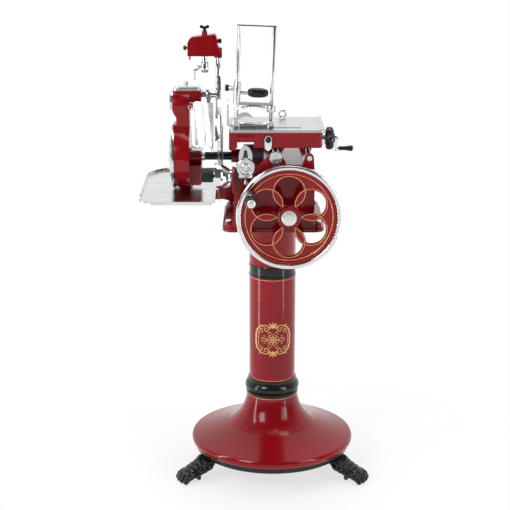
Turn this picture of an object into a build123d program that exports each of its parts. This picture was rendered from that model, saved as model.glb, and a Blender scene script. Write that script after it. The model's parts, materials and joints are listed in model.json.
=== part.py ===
from build123d import *
import math
import os

os.makedirs("parts", exist_ok=True)

# Hand-cranked flywheel slicer on a cast pedestal.  Millimetres, +Z up.
# Origin: pedestal axis at floor level.  The operator stands on the -Y side,
# the blade and the gear column are at -X, the feed handwheel is at +X.

# ---------------------------------------------------------------- clearances
RUN_FIT = 0.05          # radial clearance of a shaft in its bush
GAP = 0.4               # clearance between faces of pieces that move apart
TOOTH_BACKLASH = 0.45   # circumferential play of every gear pair
TIP_CLEARANCE = 0.8     # tooth tip to root of the mating gear

# ------------------------------------------------------------------ pedestal
RING_Z = 68.0           # underside of the black ring, top of the three feet
RING_H = 19.0
RIM_R = 270.0
RING_STEP = 8.0         # how far the ring stands inside the rim above it
RING_R = RIM_R - RING_STEP
RING_W = 66.0
RING_BORE = RING_R - RING_W
RIM_H = 27.0
DISH_R = 150.0          # radius where the dish turns up into the trumpet
DISH_H = 68.0           # height of that point above the rim underside
BELL_TOP_Z = 263.0
BELL_TOP_R = 85.0
BELL_WALL = 9.0
COLLAR_H = 54.0
COLLAR_R = 91.0
COLUMN_R = 77.0
COLUMN_WALL = 8.0
COLUMN_SEAT = 12.0      # depth of the column foot inside the lower collar
BAND_Z = 676.0
BAND_H = 40.0
BAND_STAND = 1.2        # how far the upper band stands off the column
HEAD_FLANGE_R = 118.0
HEAD_FLANGE_T = 14.0
FOOT_COUNT = 3
FOOT_REACH = 366.0
FOOT_WIDTH = 84.0
SOLE_LENGTH = 40.0      # flat sole under the toes
SOLE_T = 10.0
FOOT_SCREW_R = 7.0
HEAD_BOLT_R = 6.0

# -------------------------------------------------------------- machine body
BODY_Z = 862.0          # underside of the machine's plate, top of the column
PLATE_T = 12.0
PLATE_HALF_X = 162.0
PLATE_HALF_Y = 182.0
BODY_HALF_X = 129.0
BODY_HALF_Y = 176.0
BODY_WALL = 9.0
BODY_TOP_Z = 1076.0
BODY_FLANGE_T = 14.0
BODY_FLANGE_REACH = 26.0
BODY_BOLT_R = 5.0
WEB_X = -22.0           # inner bearing wall beside the bevel gears
WEB_T = 12.0
ROD_Z = 1100.0
ROD_X = 7.0             # main slide rod
ROD_R = 11.0
ROD_EAR_R = 20.0
SIDE_ROD_X = 112.0      # light slide rod at the right
SIDE_ROD_R = 8.0
SIDE_EAR_R = 14.0
EAR_T = 16.0

# --------------------------------------------------------------- gear train
WHEEL_X = 47.5          # flywheel shaft
WHEEL_Z = 924.0
SHAFT_R = 12.5
SPUR_MODULE = 3.0
CROSS_TEETH = 30
IDLER_TEETH = 25
PINION_TEETH = 20
SPUR_FACE = 18.0
SPUR_INSET = 40.0       # from the inside of the blade-side wall
SPUR_X = -BODY_HALF_X + BODY_WALL + SPUR_INSET
BEVEL_MODULE = 3.0
DRIVER_TEETH = 24
DRIVEN_TEETH = 16
BEVEL_FACE = 12.0
BEVEL_HUB = 10.0
PRESSURE_ANGLE = 20.0
CROSS_R = 9.0           # cross shaft and idler pin
BUSH_WALL = 4.0
COVER_R = 38.0          # grey cover over the spindle pinion

# -------------------------------------------------------------- blade spindle
SPINDLE_Y = 10.0
SPINDLE_Z = WHEEL_Z + SPUR_MODULE / 2 * (CROSS_TEETH + 2 * IDLER_TEETH + PINION_TEETH)
SPINDLE_R = 10.0
SLEEVE_R = 13.5
BLADE_X = -176.0
BLADE_R = 150.0
BLADE_T = 4.0
BLADE_EDGE = 0.5
BLADE_BEVEL = 17.0
BLADE_HUB_R = 34.0

# ------------------------------------------------------------------ flywheel
WHEEL_Y = -230.0        # middle plane of the flywheel
WHEEL_R = 166.0
WHEEL_BAND = 15.0       # radial width of the bright rim
WHEEL_RIM_W = 38.0
WEB_FACE_T = 12.0
PETAL_COUNT = 6
PETAL_CENTRE_R = 82.0
PETAL_R = 44.0
SPOKE_CIRCLE_R = 54.0
HUB_R = 35.0
HUB_T = 46.0
HUB_CAP_R = 24.0
CRANK_R = 138.0
CRANK_ANGLE = 148.0
GRIP_R = 17.5
GRIP_LENGTH = 116.0
GRIP_NECK = 12.0
PIN_R = 7.0

# ------------------------------------------------------------------ carriage
CAR_X0 = -140.0
CAR_X1 = 151.0
CAR_Y0 = -160.0
CAR_Y1 = 112.0
CAR_Z0 = 1129.0
CAR_Z1 = 1177.0
CAR_WALL = 7.0
CAR_STROKE = 125.0      # travel each way from the middle
CAR_SPARE = 3.0         # left between sleeve and rod ear at the end of the stroke
CHANNEL_X0 = -114.0     # channel along the carriage above the tripping claw
CHANNEL_X1 = -62.0
APRON_Z = 1121.0
TABLE_X1 = 160.0
TABLE_Y1 = 122.0
TABLE_T = 8.0
TABLE_LIP = 3.0
SLOT_W = 14.0
SCREW_Y = -110.0
SCREW_Z = 1152.0
SCREW_R = 6.0
FEED_TRAVEL = 112.0
KNOB_R = 37.0
KNOB_T = 26.0
KNOB_LOBES = 6
FEED_CRANK_R = 32.0

# ---------------------------------------------------------------- meat clamp
CLAMP_X = -63.7
CLAMP_Y = -105.0
CLAMP_LEAN = 2.2        # degrees that the posts lean to the right
POST_R = 6.0
POST_SPACING = 109.0
POST_TOP_Z = 1501.0
SADDLE_H = 20.0
SADDLE_W = 30.0
YOKE_GRIP_R = 15.5
YOKE_GRIP_L = 64.0

# --------------------------------------------------------------- gear column
COL_X0 = -323.0
COL_X1 = -269.0
COL_TOP_Z = 1290.0
ARM_Z0 = 905.0
COL_HEAD_R = 48.0
COL_FOOT_R = 100.0
COL_WAIST_R = 38.0
ARM_Z1 = 944.0
UPPER_COVER_R = 31.0
LOWER_COVER_R = 104.0
COVER_T = 11.0
TIE_Z = 1275.0
TIE_R = 11.5
POST_X = -177.0
SUPPORT_R = 8.0
LID_H = 11.0

# ------------------------------------------------------------------ sharpener
HOOD_X0 = -274.0
HOOD_X1 = -164.0
HOOD_Z0 = 1399.0
HOOD_Z1 = 1468.0
HOOD_DEPTH = 64.0
HOOD_Y = 20.0
SHARP_X = -218.0
STONE_R = 11.0
STONE_T = 7.0

# ---------------------------------------------------------------------- tray
TRAY_X0 = -430.0
TRAY_X1 = -186.0
TRAY_Y0 = -150.0
TRAY_Y1 = 235.0
TRAY_Z = 950.0
TRAY_T = 4.0
TRAY_RISE = 30.0          # how much higher the rear edge stands
TRAY_LIP = 12.0


# ------------------------------------------------------------------- helpers
def along_x(x0, x1, y, z, radius, bore=0.0):
    """Round bar or tube from x0 to x1."""
    bar = Cylinder(radius, x1 - x0)
    if bore:
        bar -= Cylinder(bore, x1 - x0)
    return Pos((x0 + x1) / 2, y, z) * Rot(0, 90, 0) * bar


def along_y(x, y0, y1, z, radius, bore=0.0):
    """Round bar or tube from y0 to y1."""
    bar = Cylinder(radius, y1 - y0)
    if bore:
        bar -= Cylinder(bore, y1 - y0)
    return Pos(x, (y0 + y1) / 2, z) * Rot(90, 0, 0) * bar


def along_z(x, y, z0, z1, radius, bore=0.0):
    """Round bar or tube from z0 to z1."""
    bar = Cylinder(radius, z1 - z0)
    if bore:
        bar -= Cylinder(bore, z1 - z0)
    return Pos(x, y, (z0 + z1) / 2) * bar


def block(x0, x1, y0, y1, z0, z1):
    """Plain block between two corners."""
    return Pos((x0 + x1) / 2, (y0 + y1) / 2, (z0 + z1) / 2) * Box(x1 - x0, y1 - y0, z1 - z0)


def plate_z(x0, x1, y0, y1, z0, z1, radius):
    """Flat plate with rounded corners, lying level."""
    face = RectangleRounded(x1 - x0, y1 - y0, radius)
    return Pos((x0 + x1) / 2, (y0 + y1) / 2, z0) * extrude(face, z1 - z0)


def plate_y(x0, x1, y0, y1, z0, z1, radius):
    """Flat plate with rounded corners, facing the operator."""
    face = RectangleRounded(x1 - x0, z1 - z0, radius)
    return Pos((x0 + x1) / 2, y1, (z0 + z1) / 2) * Rot(90, 0, 0) * extrude(face, y1 - y0)


def plate_x(x0, x1, y0, y1, z0, z1, radius):
    """Flat plate with rounded corners, facing the blade side."""
    face = RectangleRounded(y1 - y0, z1 - z0, radius)
    upright = Plane(origin=(x0, (y0 + y1) / 2, (z0 + z1) / 2), x_dir=(0, 1, 0), z_dir=(1, 0, 0))
    return extrude(upright * face, x1 - x0)


def slab_xz(points, y0, y1):
    """Straight-sided outline of (x, z) points, extruded from y0 to y1."""
    face = make_face(Polyline(*[(x, y1, z) for x, z in points], close=True))
    return extrude(face, y1 - y0, dir=(0, -1, 0))


def slab_yz(points, x0, x1):
    """Straight-sided outline of (y, z) points, extruded from x0 to x1."""
    face = make_face(Polyline(*[(x0, y, z) for y, z in points], close=True))
    return extrude(face, x1 - x0, dir=(1, 0, 0))


def turned(points):
    """Closed outline of (radius, height) points, turned about the Z axis."""
    face = make_face(Polyline(*[(r, 0, h) for r, h in points], close=True))
    return revolve(face, Axis.Z)


def to_x(x, y, z):
    """Location whose Z axis runs along +X."""
    return Pos(x, y, z) * Rot(0, 90, 0)


def to_minus_x(x, y, z):
    """Location whose Z axis runs along -X."""
    return Pos(x, y, z) * Rot(0, -90, 0)


def to_front(x, y, z):
    """Location whose Z axis runs along -Y, towards the operator."""
    return Pos(x, y, z) * Rot(90, 0, 0)


def to_rear(x, y, z):
    """Location whose Z axis runs along +Y."""
    return Pos(x, y, z) * Rot(-90, 0, 0)


def hex_bolt(radius, length, head_radius, head_height):
    """Bolt along +Z with its head below the origin."""
    head = Pos(0, 0, -head_height) * extrude(RegularPolygon(head_radius, 6), head_height)
    return head + Pos(0, 0, length / 2) * Cylinder(radius, length)


def keep(name, shape):
    """Write one sub-part."""
    shape.label = name
    export_step(shape, "parts/" + name + ".step")


def group(shapes):
    """Separate solids of one sub-part."""
    return Compound(children=list(shapes))

# ------------------------------------------------------------------ pedestal
def lion_foot(angle):
    """Cast paw foot: a bent leg out of the ring, four toes and their claws."""
    half = FOOT_WIDTH / 2
    ankle = RIM_R + 6
    sole = FOOT_REACH - RIM_R
    stations = [
        ((RING_R - 36, 70), (0.35, -1.0), half, 34),
        ((RING_R - 14, 52), (0.8, -0.6), half * 0.86, 27),
        ((ankle, 38), (1.0, -0.25), half * 0.72, 22),
        ((ankle + sole * 0.36, 31), (1.0, -0.1), half * 0.82, 24),
        ((ankle + sole * 0.68, 22), (1.0, -0.1), half * 0.86, 18),
    ]
    sections = []
    for (x, z), (dx, dz), wide, thick in stations:
        plane = Plane(origin=(x, 0, z), x_dir=(0, 1, 0), z_dir=(dx, 0, dz))
        sections.append(plane * Ellipse(wide, thick))
    paw = loft(sections)
    toe_r = half * 0.3
    for i in range(4):
        spread = (i - 1.5) * 4.2
        reach = FOOT_REACH - toe_r - 3 - abs(i - 1.5) * 5
        toe = Pos(0, 0, toe_r - 1) * Rot(0, 0, spread) * Pos(reach, 0, 0) * Sphere(toe_r)
        shank = Pos(0, 0, toe_r + 3) * Rot(0, 0, spread) * Pos(reach - 22, 0, 0)
        toe += shank * Rot(0, 98, 0) * Cylinder(toe_r * 0.86, 44)
        claw = Pos(0, 0, toe_r * 0.55) * Rot(0, 0, spread) * Pos(reach + toe_r * 0.8, 0, 0)
        toe += claw * Rot(0, 105, 0) * Cone(4.5, 1.0, 12)
        paw += toe
    sole_x = FOOT_REACH - toe_r - SOLE_LENGTH / 2 - 3
    paw += Pos(sole_x, 0, 0) * extrude(Ellipse(SOLE_LENGTH / 2, half * 0.78), SOLE_T)
    room = block(0, FOOT_REACH + 10, -half * 2, half * 2, 0, RING_Z)
    return Rot(0, 0, angle) * (paw & room)


def foot_screw(angle):
    """Screw that holds one foot to the ring, head inside the ring's top."""
    at = Rot(0, 0, angle) * Pos((RING_R + RING_BORE) / 2, 0, RING_Z + RING_H)
    return at * Rot(180, 0, 0) * hex_bolt(FOOT_SCREW_R, RING_H + 26, 9.5, 6)


foot_angles = [30 - 180 + i * 360 / FOOT_COUNT for i in range(FOOT_COUNT)]
screw_holes = [foot_screw(a) for a in foot_angles]
keep("lion_feet", group([lion_foot(a) - screw for a, screw in zip(foot_angles, screw_holes)]))

rim_z = RING_Z + RING_H
ring_edge = 3.0
base_ring = turned([
    (RING_BORE, RING_Z), (RING_R - ring_edge, RING_Z), (RING_R, RING_Z + ring_edge),
    (RING_R, rim_z), (RING_BORE, rim_z)])
for screw in screw_holes:
    base_ring -= screw
keep("base_ring", base_ring)

# Trumpet base: gently domed dish, concave neck, rolled rim, cast hollow.
dish_z = rim_z + DISH_H
neck_mid = ((DISH_R + BELL_TOP_R) / 2 - 11, (dish_z + BELL_TOP_Z) / 2 - 12)
outer_dish = Spline((RIM_R, 0, rim_z + RIM_H), (RIM_R * 0.76, 0, rim_z + RIM_H + 20),
                    (DISH_R, 0, dish_z))
outer_neck = Spline((DISH_R, 0, dish_z), (neck_mid[0], 0, neck_mid[1]),
                    (BELL_TOP_R, 0, BELL_TOP_Z))
rim_arc = ThreePointArc((RIM_R, 0, rim_z + RIM_H), (RIM_R + 5, 0, rim_z + RIM_H * 0.6),
                        (RIM_R - 3, 0, rim_z))
wall = BELL_WALL
inner_neck = Spline((BELL_TOP_R - wall, 0, BELL_TOP_Z),
                    (neck_mid[0] - wall * 0.8, 0, neck_mid[1] - wall * 0.5),
                    (DISH_R - wall * 0.3, 0, dish_z - wall))
inner_dish = Spline((DISH_R - wall * 0.3, 0, dish_z - wall),
                    (RIM_R * 0.76, 0, rim_z + RIM_H + 20 - wall),
                    (RIM_R - wall * 1.6, 0, rim_z + RIM_H * 0.5))
foot_land = Polyline((RIM_R - wall * 1.6, 0, rim_z + RIM_H * 0.5),
                     (RING_R - 22, 0, rim_z + 8), (RING_R - 22, 0, rim_z), (RIM_R - 3, 0, rim_z))
top_land = Line((BELL_TOP_R, 0, BELL_TOP_Z), (BELL_TOP_R - wall, 0, BELL_TOP_Z))
bell_face = make_face([outer_dish, outer_neck, top_land, inner_neck, inner_dish, foot_land, rim_arc])
keep("base_bell", revolve(bell_face, Axis.Z))

collar_top = BELL_TOP_Z + COLLAR_H
column_z = collar_top - COLUMN_SEAT
collar_mid = (BELL_TOP_Z + collar_top) / 2 - 6
collar_face = make_face([
    ThreePointArc((BELL_TOP_R + 1, 0, BELL_TOP_Z + 8), (COLLAR_R, 0, collar_mid),
                  (COLUMN_R + 3, 0, collar_top - 8)),
    Polyline((COLUMN_R + 3, 0, collar_top - 8), (COLUMN_R + 4, 0, collar_top),
             (COLUMN_R, 0, collar_top), (COLUMN_R, 0, column_z),
             (BELL_TOP_R - wall, 0, column_z), (BELL_TOP_R - wall, 0, BELL_TOP_Z),
             (BELL_TOP_R + 3, 0, BELL_TOP_Z), (BELL_TOP_R + 3, 0, BELL_TOP_Z + 8),
             (BELL_TOP_R + 1, 0, BELL_TOP_Z + 8))])
lower_collar = revolve(collar_face, Axis.Z)

keep("column", along_z(0, 0, column_z, BAND_Z, COLUMN_R, COLUMN_R - COLUMN_WALL))

band_top = BAND_Z + BAND_H
band_r = COLUMN_R + BAND_STAND
upper_collar = turned([
    (COLUMN_R - COLUMN_WALL, BAND_Z), (COLUMN_R, BAND_Z), (band_r, BAND_Z + 2),
    (band_r, BAND_Z + 6), (band_r - 2, BAND_Z + 8), (band_r - 2, band_top - 8),
    (band_r, band_top - 6), (band_r, band_top - 2), (COLUMN_R, band_top),
    (COLUMN_R - COLUMN_WALL, band_top)])
keep("column_collars", group([lower_collar, upper_collar]))

flange_z = BODY_Z - HEAD_FLANGE_T
column_head = turned([
    (COLUMN_R - COLUMN_WALL, band_top), (COLUMN_R, band_top), (COLUMN_R, flange_z - 22),
    (COLUMN_R + 12, flange_z), (HEAD_FLANGE_R, flange_z), (HEAD_FLANGE_R, BODY_Z),
    (COLUMN_R - COLUMN_WALL, BODY_Z)])
head_bolt_circle = (HEAD_FLANGE_R + COLUMN_R + 12) / 2
head_bolts = []
for i in range(4):
    seat = Rot(0, 0, 45 + i * 90) * Pos(head_bolt_circle, 0, flange_z)
    head_bolts.append(seat * hex_bolt(HEAD_BOLT_R, HEAD_FLANGE_T + PLATE_T, 11, 8))
for bolt in head_bolts:
    column_head -= bolt
keep("column_head", column_head)
keep("pedestal_bolts", group(screw_holes + head_bolts))

# -------------------------------------------------------------- machine body
plate_top = BODY_Z + PLATE_T
machine_plate = plate_z(-PLATE_HALF_X, PLATE_HALF_X, -PLATE_HALF_Y, PLATE_HALF_Y,
                        BODY_Z, plate_top, 34)
for bolt in head_bolts:
    machine_plate -= bolt
for side in (-1, 1):
    for end in (-1, 1):
        spot = (side * (BODY_HALF_X + BODY_FLANGE_REACH / 2), end * (BODY_HALF_Y - 30))
        machine_plate -= along_z(spot[0], spot[1], BODY_Z - 1, plate_top + 1, BODY_BOLT_R)

# Casting: an outline of wall, shoulder and crown, shelled and open below.
def body_outline(inset):
    """Section of the casting, seen from the operator, drawn in by the inset."""
    x = BODY_HALF_X - inset
    top = BODY_TOP_Z - inset
    shoulder = 62
    lines = [
        Line((-x, 0, plate_top), (-x + 6, 0, top - shoulder)),
        ThreePointArc((-x + 6, 0, top - shoulder), (-x + 24, 0, top - 18),
                      (-x + shoulder + 6, 0, top)),
        Line((-x + shoulder + 6, 0, top), (x - 34, 0, top)),
        Line((x - 34, 0, top), (x, 0, top - 20)),
        Line((x, 0, top - 20), (x, 0, plate_top)),
        Line((x, 0, plate_top), (-x, 0, plate_top)),
    ]
    return make_face(lines)


def body_slab(inset, y0, y1):
    return Pos(0, y1, 0) * extrude(body_outline(inset), y1 - y0, dir=(0, -1, 0))


body = body_slab(0, -BODY_HALF_Y, BODY_HALF_Y)
hollow = body_slab(BODY_WALL, -BODY_HALF_Y + BODY_WALL, BODY_HALF_Y - BODY_WALL)
body -= hollow - block(WEB_X - WEB_T / 2, WEB_X + WEB_T / 2, -BODY_HALF_Y, BODY_HALF_Y,
                       BODY_Z, BODY_TOP_Z)
flange = plate_z(-BODY_HALF_X - BODY_FLANGE_REACH, BODY_HALF_X + BODY_FLANGE_REACH,
                 -BODY_HALF_Y, BODY_HALF_Y, plate_top, plate_top + BODY_FLANGE_T, 24)
flange -= block(-BODY_HALF_X + 4, BODY_HALF_X - 4, -BODY_HALF_Y + 4, BODY_HALF_Y - 4,
                plate_top - 1, plate_top + BODY_FLANGE_T + 1)
body += flange

# Ears that carry the two slide rods, front and rear.
def rod_ears(y0, y1):
    main = slab_xz([(ROD_X - 62, BODY_TOP_Z - 6), (ROD_X + 40, BODY_TOP_Z - 6),
                    (ROD_X + ROD_EAR_R * 0.8, ROD_Z + 12), (ROD_X - ROD_EAR_R * 0.9, ROD_Z + 10)],
                   y0, y1)
    main += along_y(ROD_X, y0, y1, ROD_Z, ROD_EAR_R)
    side = slab_xz([(SIDE_ROD_X - 26, BODY_TOP_Z - 6), (BODY_HALF_X, BODY_TOP_Z - 26),
                    (SIDE_ROD_X + SIDE_EAR_R, ROD_Z), (SIDE_ROD_X - SIDE_EAR_R, ROD_Z)], y0, y1)
    side += along_y(SIDE_ROD_X, y0, y1, ROD_Z, SIDE_EAR_R)
    return main + side


body += rod_ears(-BODY_HALF_Y, -BODY_HALF_Y + EAR_T)
body += rod_ears(BODY_HALF_Y - EAR_T, BODY_HALF_Y)
rod_end = BODY_HALF_Y + 6
main_rod = along_y(ROD_X, -rod_end, rod_end, ROD_Z, ROD_R)
side_rod = along_y(SIDE_ROD_X, -rod_end, rod_end, ROD_Z, SIDE_ROD_R)
body -= main_rod
body -= side_rod
cap_t = 5.0
rod_caps = [along_y(ROD_X, s * (BODY_HALF_Y + cap_t / 2) - cap_t / 2,
                    s * (BODY_HALF_Y + cap_t / 2) + cap_t / 2, ROD_Z, ROD_EAR_R, ROD_R)
            for s in (-1, 1)]
keep("slide_rods", group([main_rod, side_rod] + rod_caps))

# Gear train: a bevel pair off the flywheel shaft turns a cross shaft, and three
# spur gears climb from there to the blade spindle.
pi = math.pi
cross_pr = SPUR_MODULE * CROSS_TEETH / 2
idler_pr = SPUR_MODULE * IDLER_TEETH / 2
idler_z = WHEEL_Z + cross_pr + idler_pr
driver_pr = BEVEL_MODULE * DRIVER_TEETH / 2
ROOT_DEPTH = 0.85 + TIP_CLEARANCE / SPUR_MODULE
TIP_HEIGHT = 0.85


def meshing_phase(phase, angle, teeth, mate):
    """Tooth phase of the mate whose centre lies at the angle from a gear."""
    turn = (phase - angle) * teeth + pi
    return angle + pi - turn / mate


def tooth_outline(teeth, module, cone, phase):
    """Involute outline of a gear; the cone angle is zero for a spur gear."""
    pitch = module * teeth / 2
    virtual = pitch / math.cos(cone)
    flat = math.radians(PRESSURE_ANGLE)
    base = virtual * math.cos(flat)
    half = pi * module / (4 * virtual) - TOOTH_BACKLASH / (4 * virtual)
    half += math.tan(flat) - flat
    heights = (-ROOT_DEPTH * module, -0.45 * module, 0.0, 0.45 * module, TIP_HEIGHT * module)
    flank = []
    for height in heights:
        radius = virtual + height
        press = math.acos(min(1.0, base / radius))
        wide = (half - math.tan(press) + press) * radius
        real = pitch + height / math.cos(cone)
        flank.append((real, wide / real))
    points = []
    for i in range(teeth):
        middle = phase + i * 2 * pi / teeth
        for real, wide in flank:
            points.append((real, middle - wide))
        for real, wide in reversed(flank):
            points.append((real, middle + wide))
    return [(r * math.cos(a), r * math.sin(a)) for r, a in points]


def spur_gear(teeth, phase, bore):
    """Spur gear about the X axis of the train, its first tooth at the phase."""
    face = make_face(Polyline(*tooth_outline(teeth, SPUR_MODULE, 0.0, phase), close=True))
    return extrude(face, SPUR_FACE / 2, both=True) - Cylinder(bore, SPUR_FACE * 2)


def bevel_gear(teeth, mate, phase, bore):
    """Bevel gear about the Z axis, its apex at the origin, hub below it."""
    pitch = BEVEL_MODULE * teeth / 2
    depth = BEVEL_MODULE * mate / 2
    outline = tooth_outline(teeth, BEVEL_MODULE, math.atan2(pitch, depth), phase)
    share = 1 - BEVEL_FACE / math.hypot(pitch, depth)
    big = make_face(Polyline(*[(x, y, -depth) for x, y in outline], close=True))
    small = make_face(Polyline(*[(x * share, y * share, -depth * share) for x, y in outline],
                               close=True))
    gear = loft([big, small], ruled=True)
    gear += Pos(0, 0, -depth - BEVEL_HUB / 2) * Cylinder(pitch * 0.72, BEVEL_HUB)
    return gear - Pos(0, 0, -depth) * Cylinder(bore, (depth + BEVEL_HUB) * 2)


def spur_at(z, teeth, phase, bore):
    """Spur gear of the vertical train; its local X runs along +Y, local Y along +Z."""
    plane = Plane(origin=(SPUR_X, SPINDLE_Y, z), x_dir=(0, 1, 0), z_dir=(1, 0, 0))
    return plane * spur_gear(teeth, phase, bore)


up = pi / 2
cross_phase = up
idler_phase = meshing_phase(cross_phase, up, CROSS_TEETH, IDLER_TEETH)
pinion_phase = meshing_phase(idler_phase, up, IDLER_TEETH, PINION_TEETH)
cross_gear = spur_at(WHEEL_Z, CROSS_TEETH, cross_phase, CROSS_R)
for i in range(5):
    away = i * 2 * pi / 5
    cross_gear -= along_x(SPUR_X - SPUR_FACE, SPUR_X + SPUR_FACE,
                          SPINDLE_Y + cross_pr * 0.58 * math.cos(away),
                          WHEEL_Z + cross_pr * 0.58 * math.sin(away), cross_pr * 0.2)
keep("idler_gear", spur_at(idler_z, IDLER_TEETH, idler_phase, CROSS_R + RUN_FIT))
pinion = spur_at(SPINDLE_Z, PINION_TEETH, pinion_phase, SPINDLE_R)

# The driver's local X runs along -X, so that one tooth points at the cross shaft.
driver_plane = Plane(origin=(WHEEL_X, SPINDLE_Y, WHEEL_Z), x_dir=(-1, 0, 0), z_dir=(0, 1, 0))
driven_plane = Plane(origin=(WHEEL_X, SPINDLE_Y, WHEEL_Z), x_dir=(0, -1, 0), z_dir=(1, 0, 0))
driver = driver_plane * bevel_gear(DRIVER_TEETH, DRIVEN_TEETH, 0.0, SHAFT_R)
driven = driven_plane * bevel_gear(DRIVEN_TEETH, DRIVER_TEETH, pi / DRIVEN_TEETH, CROSS_R)

left_in = -BODY_HALF_X + BODY_WALL
front_in = -BODY_HALF_Y + BODY_WALL
boss_len = 22.0
cross_end = WHEEL_X - driver_pr + 6
cross_start = left_in + 3
cross_shaft = along_x(cross_start, cross_end, SPINDLE_Y, WHEEL_Z, CROSS_R)
keep("cross_shaft", group([cross_shaft, cross_gear, driven]))

# Cast bosses for the bushes.
body += along_x(left_in - 1, left_in + boss_len, SPINDLE_Y, WHEEL_Z, CROSS_R + BUSH_WALL + 6)
body += along_x(left_in - 1, left_in + boss_len, SPINDLE_Y, idler_z, CROSS_R + 8)
shaft_bush_r = SHAFT_R + BUSH_WALL
main_boss = BODY_HALF_Y + 10
body += along_y(WHEEL_X, -main_boss, front_in, WHEEL_Z, shaft_bush_r + 14)
body += along_y(WHEEL_X, -front_in, BODY_HALF_Y + 2, WHEEL_Z, shaft_bush_r + 14)
cross_bush_r = CROSS_R + BUSH_WALL
bush_left = along_x(left_in, left_in + boss_len, SPINDLE_Y, WHEEL_Z, cross_bush_r, CROSS_R + RUN_FIT)
bush_mid = along_x(WEB_X - WEB_T / 2, WEB_X + WEB_T / 2, SPINDLE_Y, WHEEL_Z, cross_bush_r,
                   CROSS_R + RUN_FIT)
bush_front = along_y(WHEEL_X, -main_boss - 3, front_in, WHEEL_Z, shaft_bush_r, SHAFT_R + RUN_FIT)
bush_rear = along_y(WHEEL_X, -front_in, BODY_HALF_Y + 2, WHEEL_Z, shaft_bush_r, SHAFT_R + RUN_FIT)
body -= along_x(left_in, WEB_X + WEB_T, SPINDLE_Y, WHEEL_Z, cross_bush_r)
body -= along_y(WHEEL_X, -main_boss - 5, main_boss, WHEEL_Z, shaft_bush_r)

idler_pin = along_x(left_in - 4, SPUR_X + SPUR_FACE / 2 + GAP, SPINDLE_Y, idler_z, CROSS_R)
idler_pin += along_x(SPUR_X + SPUR_FACE / 2 + GAP, SPUR_X + SPUR_FACE / 2 + GAP + 5, SPINDLE_Y,
                     idler_z, CROSS_R + 5)
body -= along_x(left_in - 4, left_in + boss_len + 1, SPINDLE_Y, idler_z, CROSS_R)

shaft_back = BODY_HALF_Y + 2 + GAP
main_shaft = along_y(WHEEL_X, WHEEL_Y - HUB_T / 2, shaft_back + 12, WHEEL_Z, SHAFT_R)
main_shaft += along_y(WHEEL_X, shaft_back, shaft_back + 10, WHEEL_Z, SHAFT_R + 9)
keep("main_shaft", group([main_shaft, driver]))

# Blade-side bearing: a long boss through the shoulder of the casting.
boss_in = left_in + 25
boss_out = -BODY_HALF_X - 7
spindle_bush_r = SPINDLE_R + BUSH_WALL
body += along_x(boss_out, boss_in, SPINDLE_Y, SPINDLE_Z, spindle_bush_r + 8)
body -= along_x(boss_out - 1, boss_in + 1, SPINDLE_Y, SPINDLE_Z, spindle_bush_r)
bush_spindle = along_x(boss_out, boss_in, SPINDLE_Y, SPINDLE_Z, spindle_bush_r,
                       SPINDLE_R + RUN_FIT)

# Grey half-round cover above the pinion, and the opening below it.
cover_x1 = WEB_X - 8
cover_wall = 3.0
cover = along_x(boss_in, cover_x1, SPINDLE_Y, SPINDLE_Z, COVER_R)
cover -= along_x(boss_in + cover_wall, cover_x1 - cover_wall, SPINDLE_Y, SPINDLE_Z,
                 COVER_R - cover_wall)
cover -= along_x(boss_in - 1, boss_in + cover_wall + 1, SPINDLE_Y, SPINDLE_Z, SPINDLE_R + 2)
body -= along_x(boss_in, cover_x1, SPINDLE_Y, SPINDLE_Z, COVER_R)
cover &= block(boss_in, cover_x1, SPINDLE_Y - COVER_R, SPINDLE_Y + COVER_R,
               BODY_TOP_Z - BODY_WALL, SPINDLE_Z + COVER_R)
keep("gear_cover", cover)

# ------------------------------------------------------------------ flywheel
def facing_front(x, y, z):
    """Plane with its X along +X, its Y along +Z and its Z towards the operator."""
    return Plane(origin=(x, y, z), x_dir=(1, 0, 0), z_dir=(0, -1, 0))


hub_plane = facing_front(WHEEL_X, WHEEL_Y, WHEEL_Z)
web_r = WHEEL_R - WHEEL_BAND
half_rim = WHEEL_RIM_W / 2
bright_rim = hub_plane * turned([
    (web_r, -half_rim), (WHEEL_R - 5, -half_rim), (WHEEL_R - 1.5, -half_rim + 2),
    (WHEEL_R, -half_rim + 7), (WHEEL_R, half_rim - 7), (WHEEL_R - 1.5, half_rim - 2),
    (WHEEL_R - 5, half_rim), (web_r, half_rim)])
step = half_rim - 6
half_web = WEB_FACE_T / 2
wheel = turned([
    (SHAFT_R, -HUB_T / 2), (HUB_R - 3, -HUB_T / 2), (HUB_R, -HUB_T / 2 + 3),
    (HUB_R, -half_web), (web_r - 22, -half_web), (web_r - 16, -step),
    (web_r, -step), (web_r, step), (web_r - 10, step),
    (web_r - 18, half_web), (HUB_R, half_web), (HUB_R, HUB_T / 2 - 6),
    (HUB_R - 3, HUB_T / 2 - 3), (SHAFT_R, HUB_T / 2 - 3)])


def petal(angle):
    """Opening between two lens-shaped spokes."""
    hole = Rot(0, 0, angle) * Pos(PETAL_CENTRE_R, 0, 0) * Cylinder(PETAL_R, WEB_FACE_T * 3)
    for side in (-1, 1):
        beside = Rot(0, 0, angle + side * 360 / PETAL_COUNT) * Pos(PETAL_CENTRE_R, 0, 0)
        hole -= beside * Cylinder(SPOKE_CIRCLE_R, WEB_FACE_T * 4)
    return hole


crank_turn = Rot(0, 0, CRANK_ANGLE)
pad_h = half_rim - 2
wheel += crank_turn * Pos(CRANK_R, 0, pad_h / 2) * Cylinder(PIN_R + 7, pad_h)
wheel &= Cylinder(web_r, WHEEL_RIM_W * 2)
for i in range(PETAL_COUNT):
    wheel -= petal(30 + i * 360 / PETAL_COUNT)
wheel -= crank_turn * Pos(CRANK_R, 0, 0) * Cylinder(PIN_R - 1, WHEEL_RIM_W * 2)
keep("flywheel", hub_plane * wheel)

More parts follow.
